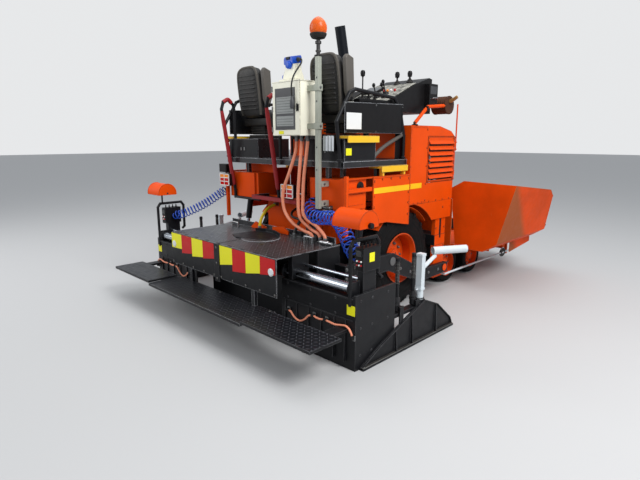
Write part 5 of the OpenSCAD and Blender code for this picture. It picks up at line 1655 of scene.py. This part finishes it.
class PAVER_OT_screed_deck(bpy.types.Operator):
    """Deck, walkway and the striped panels with reflectors"""

    bl_idname = "paver.screed_deck"
    bl_label = "Screed deck"

    def execute(self, context):
        repaint("deck_tread", "screed_deck")
        repaint("screed_black", "marker_panels")
        Shape().box(-780, 780, -2010, -1642, 322.02, 322.24).place("walkway_tread", "screed", "walk_tread")
        blocks = Shape()
        y = -1688.2
        # Each panel's blocks from the middle out, by the height of their lower corners
        lows = {
            1: ((610, 646), (584, 607), (607, 645), (638, 667)),
            -1: ((652, 618), (630, 604), (630, 604), (646, 640))
        }
        for side in (1, -1):
            x0, x1 = 46, 850
            width = (x1 - x0) / 4
            for k, (low_a, low_b) in enumerate(lows[side]):
                a, b = x0 + k * width, x0 + (k + 1) * width
                blocks.paint(k % 2 if side > 0 else (k + 1) % 2)
                pts = [(side * a, 797), (side * b, 797), (side * b, low_b), (side * a, low_a)]
                blocks.prism(pts, "y", y, y - 1.4)
            blocks.paint(2).disc(y - 0.2, y - 6, 34, (side * 796, 0, 684), "y", 32)
            blocks.paint(3).lathe([
                (y - 6, 0), (y - 6, 29), (y - 8, 27), (y - 9, 0)
            ], (side * 796, 0, 684), "y", 32)
        blocks.place(
            "marker_blocks", "screed", "block_yellow block_red white_plastic clear_lens", bevel=0.4
        )
        spots = [(s * x, -1689, 492, "-y") for s in (1, -1) for x in (60, 240, 440, 640, 838)]
        spots += grid("-y", 0, -1697, (470, 620, 770))
        bolts(spots, "panel_edge_bolts", "screed", "dark_steel", 8, 6)
        deck = Shape().box(-3, 3, -1680, -932, 805.1, 807)
        deck.paint(1).box(-812, 812, -935, -930.2, 812, 868)
        deck.paint(2)
        for x in range(-760, 761, 190):
            deck.box(x - 26, x + 26, -1676, -1664, 805.2, 809)
        # Loose tray on the deck, with its raised back
        rim = [
            (-250, -1330), (-97, -1398), (227, -1279), (193, -1074), (40, -1010), (-110, -1002),
            (-215, -1060)
        ]
        deck.prism(rim, "z", 805.3, 814)
        for (x0, y0), (x1, y1) in zip(rim[3:], rim[4:]):
            way = Vector((x1 - x0, y1 - y0)).normalized() * 7
            deck.prism([
                (x0, y0), (x1, y1), (x1 - way.y, y1 + way.x), (x0 - way.y, y0 + way.x)
            ], "z", 813, 846)
        deck.paint(3)
        for s in (-1, 1):
            deck.bend([
                (s * 640, -1060, 805), (s * 640, -1060, 850), (s * 632, -1060, 862), (s * 540, -1060, 862),
                (s * 532, -1060, 850), (s * 532, -1060, 805)
            ], 4, 8, 12)
        deck.lathe([
            (700, 0), (700, 14), (712, 14), (712, 19), (740, 19), (744, 16), (756, 16), (760, 20),
            (800, 20), (806, 13), (846, 13), (846, 0)
        ], (0, -1014, 826), "x", 28)
        deck.paint(4)
        for outline in (
            [(-448, 813), (-364, 883), (-181, 841), (-183, 793), (-274, 806), (-418, 806)],
            [(-77, 861), (95, 883), (176, 842), (175, 806), (78, 806), (-79, 807)]
        ):
            deck.prism(outline, "y", -948, -936)
        deck.place("deck_details", "screed", "rubber deck_tread screed_black bright_steel orange", bevel=1)
        walk = Shape().box(-782, 782, -2014, -2012, 296, 321.8)
        for s in (-1, 1):
            walk.box(s * 782.2 - 0.9, s * 782.2 + 0.9, -2012, -1642, 298, 321.8)
        walk.place("walkway_edges", "screed", "screed_black", bevel=0.8)
        spots = grid("+z", (-740, -520, 0, 520, 740), -1664, 323.6)
        bolts(spots, "walkway_bolts", "screed", "dark_steel", 9, 6)
        screed = Shape()
        for x in range(-760, 800, 190):
            screed.box(x - 5, x + 5, -902, -901, 40, 440)
        for s in (-1, 1):
            for yy in (-1180, -1000):
                screed.rod((s * 500, yy, 470), (s * 500, yy, 520), 34, 20)
                screed.rod((s * 500, yy, 520), (s * 500, yy, 532), 24, 20)
        screed.place("screed_details", "screed", "screed_black", bevel=1.5)
        return {"FINISHED"}


# The heating cables behind the extension, as (x, z) points
HEATER_CABLES = (
    ((832, 322), (852, 318), (882, 292), (930, 266), (980, 268), (1030, 298), (1070, 336), (1104, 350)),
    ((1136, 352), (1160, 347), (1191, 344), (1222, 347), (1246, 352)),
    ((1278, 352), (1310, 350), (1370, 346), (1430, 356), (1480, 364), (1516, 350), (1538, 322), (1545, 302))
)


def cable(name, route, radius, body):
    """A short heating cable between two connectors."""
    line, shape = smoothed(route, 6), Shape()
    shape.tube(line, radius, 10)
    made = shape.place(name, body, "hose_salmon", angle=60)


# The threaded posts of each extension, and the middle of its thick guide tube
POST_X, POST_YS = 1518, (-925, -690)
GUIDE_YZ = -1440, 640


class PAVER_OT_extensions(bpy.types.Operator):
    """Sliding extensions: plates, scale, connectors and threaded posts"""

    bl_idname = "paver.extensions"
    bl_label = "Screed extensions"

    def execute(self, context):
        repaint("screed_black", "extension")
        tubes = Shape()
        for y, z, r in ((*GUIDE_YZ, 41), (-1350, 697, 14)):
            tubes.disc(706, 1479.7, r, (0, y, z), "x", 72)
        tubes.pair("bright_tubes", "extension", "chrome", "guide_tubes", angle=40)
        part = Shape()
        # Rear face of the beam: stiffeners, cover with its label, connector blocks
        for x in (760, 905, 1050, 1195, 1340, 1460):
            part.prism([
                (-1500.2, 60), (-1500.2, 398), (-1506, 398), (-1524, 66), (-1524, 60)
            ], "x", x - 4, x + 4)
        part.boxes((735, 1530, -1506, -1500.2, 572, 583), (735, 1530, -1506, -1500.2, 402, 412))
        part.paint(1).box(1470, 1552, -1502.4, -1500.2, 448, 528)
        for x, z in ((806, 322), (1120, 352), (1262, 352), (1545, 276)):
            part.paint(2).box(x - 16, x + 16, -1510, -1500.2, z - 22, z + 22)
            part.paint(3).rod((x, -1510, z), (x, -1536, z), 12, 14)
        for x0, x1, z in ((806, 832, 322), (1104, 1136, 352), (1246, 1278, 352)):
            part.rod((x0, -1527, z), (x1, -1527, z), 11.5, 14)
        part.rod((1545, -1527, 276), (1545, -1527, 302), 11.5, 14)
        part.paint(0).boxes((790, 1590, -2014, -2012, 322.8, 346), (1588, 1590.2, -2012, -1690, 322.8, 346))
        part.pair(
            "extension_details", "extension", "screed_black block_yellow zinc dark_plastic", bevel=1.4
        )
        plate = Shape().box(792, 1588, -2010, -1697, 344.1, 345.2)
        plate.pair("extension_tread", "extension", "walk_tread")
        screw = Shape()
        for y in POST_YS:
            line = []
            for k in range(16 * 15 + 1):
                a = TURN * k / 16
                line.append((POST_X + 17.2 * math.cos(a), y + 17.2 * math.sin(a), 574 + 12.5 * k / 16))
            screw.tube(line, 2.6, 5)
        screw.pair("post_threads", "extension", "dark_steel", angle=60)
        crank = Shape()
        for y in POST_YS:
            crank.lathe([(770.2, 0), (770.2, 20), (800, 20), (804, 14), (804, 0)], (POST_X, y, 0), "z", 6)
        crank.pair("post_nuts", "extension", "screed_black", bevel=1.5)
        spots = grid("-y", (790, 1070, 1350), -1501, (430, 556))
        bolt_pair(spots, "beam_bolts", "extension", "screed_black", 8, 6)
        spots = grid("+x", 1559, (-1440, -1300, -1100), (120, 340, 560))
        bolt_pair(spots, "frame_bolts", "extension", "screed_black", 8, 4)
        for label, x, rides in (("inner", 714, "screed"), ("outer", 1466, "extension")):
            flange = Shape().collar(x, x + 12, 41.4, 65, (0, *GUIDE_YZ), "x", 36)
            flange.pair(f"{label}_tube_flange", rides, "screed_black", bevel=1.2)
        for word, side in SIDES:
            for k, route in enumerate(HEATER_CABLES):
                line = [(x * side, -1527, z) for x, z in route]
                cable(f"heater_cable_{k}_{word}", line, 8, f"extension_{word}")
        return {"FINISHED"}


class PAVER_OT_end_gates(bpy.types.Operator):
    """End gates with ribs, shoe and springs"""

    bl_idname = "paver.end_gates"
    bl_label = "End gates"

    def execute(self, context):
        repaint("screed_black", "end_gate")
        part = Shape()
        top = [(-1452, 20), (-1214, 139), (-594, 376), (-371, 284), (-136, 94), (-100, 20)]
        part.strips(top, 1578.2, 1592, -12, -1)
        part.paint(1).box(1578.2, 1603, -1448, -106, 20.2, 24)
        part.pair("gate_ribs", "end_gate", "screed_black worn_steel", bevel=1.2)
        spring = Shape()
        for y in POST_YS:
            line = []
            for k in range(97):
                a = TURN * k / 16
                line.append((POST_X + 27 * math.cos(a), y + 27 * math.sin(a), 393 + 68 * k / 96))
            spring.tube(line, 4, 7).collar(390.2, 396, 17.6, 30, (POST_X, y, 0), "z", 24)
        spring.pair("gate_springs", "end_gate", "screed_black", angle=60)
        return {"FINISHED"}


# The middle of the half round hoods
HOOP_Y, HOOP_Z = -1440, 1150


class PAVER_OT_stations(bpy.types.Operator):
    """Control stations with their half round hoods, and the sensor arms"""

    bl_idname = "paver.stations"
    bl_label = "Control stations"

    def execute(self, context):
        repaint("orange", "station_hood")
        repaint("pale_grey", "sensor_arm")
        panel = Shape().boxes((1482, 1558, -1424, -1420.2, 790, 950), (1478, 1562, -1422, -1218, 956, 964))
        panel.paint(1).box(1490, 1550, -1426, -1424, 896, 940)
        panel.paint(2).box(1560.3, 1562, -1352, -1290, 848, 920)
        for k in range(3):
            for j in range(2):
                panel.paint(3 + (k + j) % 2).lathe([
                    (-1424, 7), (-1432, 7), (-1433, 5), (-1433, 0)
                ], (1500 + 20 * k, 0, 830 + 30 * j), "y", 14)
        panel.paint(0)
        for k in range(4):
            panel.lathe([
                (964, 0), (964, 9), (972, 9), (986, 5), (992, 8), (998, 0)
            ], (1520, -1390 + 44 * k, 0), "z", 14)
        panel.pair(
            "station_panel", "extension", "dark_plastic screen block_yellow red_lens white_plastic",
            bevel=1.5
        )
        rim = Shape()
        n = 20
        for x in (1354, 1622):
            rings = []
            for k in range(n + 1):
                a = math.radians(-10) + math.radians(200) * k / n
                c, s = math.cos(a), math.sin(a)
                rings.append([
                    (x + dx, HOOP_Y + r * c, HOOP_Z + r * s)
                    for dx, r in ((0, 104), (4, 104), (4, 112), (0, 112))
                ])
            rim.loft(rings)
        rim.pair("hood_rims", "station_hood", "orange", bevel=0.8)
        knob = Shape().lathe([
            (1627, 0), (1627, 20), (1633, 22), (1652, 22), (1655, 18), (1655, 0)
        ], (0, HOOP_Y, HOOP_Z), "x", 12)
        knob.pair("hood_knobs", "station_hood", "dark_plastic", bevel=1.5)
        arm = Shape()
        for z in (462, 768):
            arm.box(1513, 1577, -652, -588, z, z + 24)
        arm.rod((1545, -651, 474), (1545, -682, 474), 7, 12)
        arm.paint(1).disc(388, 394, 40, (1545, -620, 0), "z", 30)
        arm.pair("arm_clamps", "sensor_arm", "pale_grey screed_black", bevel=1.5)
        return {"FINISHED"}


# ---- the add-on


class PaverLooks(bpy.types.PropertyGroup):
    """Sizes and colours that a user would change"""
    paint: FloatVectorProperty(
        name="Paint", description="Colour of the painted bodywork", subtype="COLOR", size=3, min=0,
        max=1, default=(0.76, 0.07, 0.002)
    )
    screed: FloatVectorProperty(
        name="Screed", description="Colour of the screed's paint", subtype="COLOR", size=3, min=0,
        max=1, default=(0.0075, 0.0078, 0.0095)
    )
    steps: FloatVectorProperty(
        name="Steps", description="Colour of the anti-slip steps", subtype="COLOR", size=3, min=0,
        max=1, default=(0.9, 0.52, 0.01)
    )
    coil: FloatVectorProperty(
        name="Curly cable", description="Colour of the curly cables", subtype="COLOR", size=3, min=0,
        max=1, default=(0.005, 0.06, 0.44)
    )
    hose: FloatVectorProperty(
        name="Hoses", description="Colour of the pressure hoses", subtype="COLOR", size=3, min=0, max=1,
        default=(0.82, 0.28, 0.16)
    )
    lug_height: FloatProperty(
        name="Lug height", description="How far the tread stands out", subtype="DISTANCE",
        unit="LENGTH", min=0.004, max=0.03, default=0.016
    )
    lug_count: IntProperty(
        name="Lugs", description="Lugs round one half of a tyre", min=12, max=32, default=18
    )
    lens: FloatProperty(
        name="Lens", description="Focal length of the camera in millimetres", min=15, max=120,
        default=26.89
    )
    azimuth: FloatProperty(
        name="Azimuth",
        description="Direction the camera looks in, in degrees from straight ahead to the left",
        min=-180, max=180, default=44.85
    )
    pitch: FloatProperty(
        name="Pitch", description="How far the camera looks down, in degrees", min=-30, max=60,
        default=11.9
    )


STEPS = (
    PAVER_OT_stage, PAVER_OT_cords, PAVER_OT_rear_wheels, PAVER_OT_front_wheels, PAVER_OT_hood,
    PAVER_OT_sides, PAVER_OT_hopper, PAVER_OT_running_gear, PAVER_OT_platform, PAVER_OT_console,
    PAVER_OT_seats, PAVER_OT_electrical, PAVER_OT_tow_arms, PAVER_OT_screed_deck, PAVER_OT_extensions,
    PAVER_OT_end_gates, PAVER_OT_stations
)


class PAVER_PT_sidebar(bpy.types.Panel):
    """The paver's looks and the steps that build them"""

    bl_idname = "PAVER_PT_sidebar"
    bl_label = "Asphalt paver"
    bl_space_type = "VIEW_3D"
    bl_region_type = "UI"
    bl_category = "Paver"

    def draw(self, context):
        column = self.layout.column()
        own = context.scene.paver_looks
        for name in PaverLooks.__annotations__:
            column.prop(own, name)
        for step in STEPS:
            column.operator(step.bl_idname)


def register():
    for c in (PaverLooks, *STEPS, PAVER_PT_sidebar):
        bpy.utils.register_class(c)
    bpy.types.Scene.paver_looks = PointerProperty(type=PaverLooks)


def unregister():
    del bpy.types.Scene.paver_looks
    for c in (PAVER_PT_sidebar, *reversed(STEPS), PaverLooks):
        bpy.utils.unregister_class(c)


def main():
    register()
    for step in STEPS:
        group, name = step.bl_idname.split(".")
        if getattr(getattr(bpy.ops, group), name)() != {"FINISHED"}:
            raise RuntimeError(f"{step.bl_label} wasn't built")


if __name__ == "__main__":
    main()
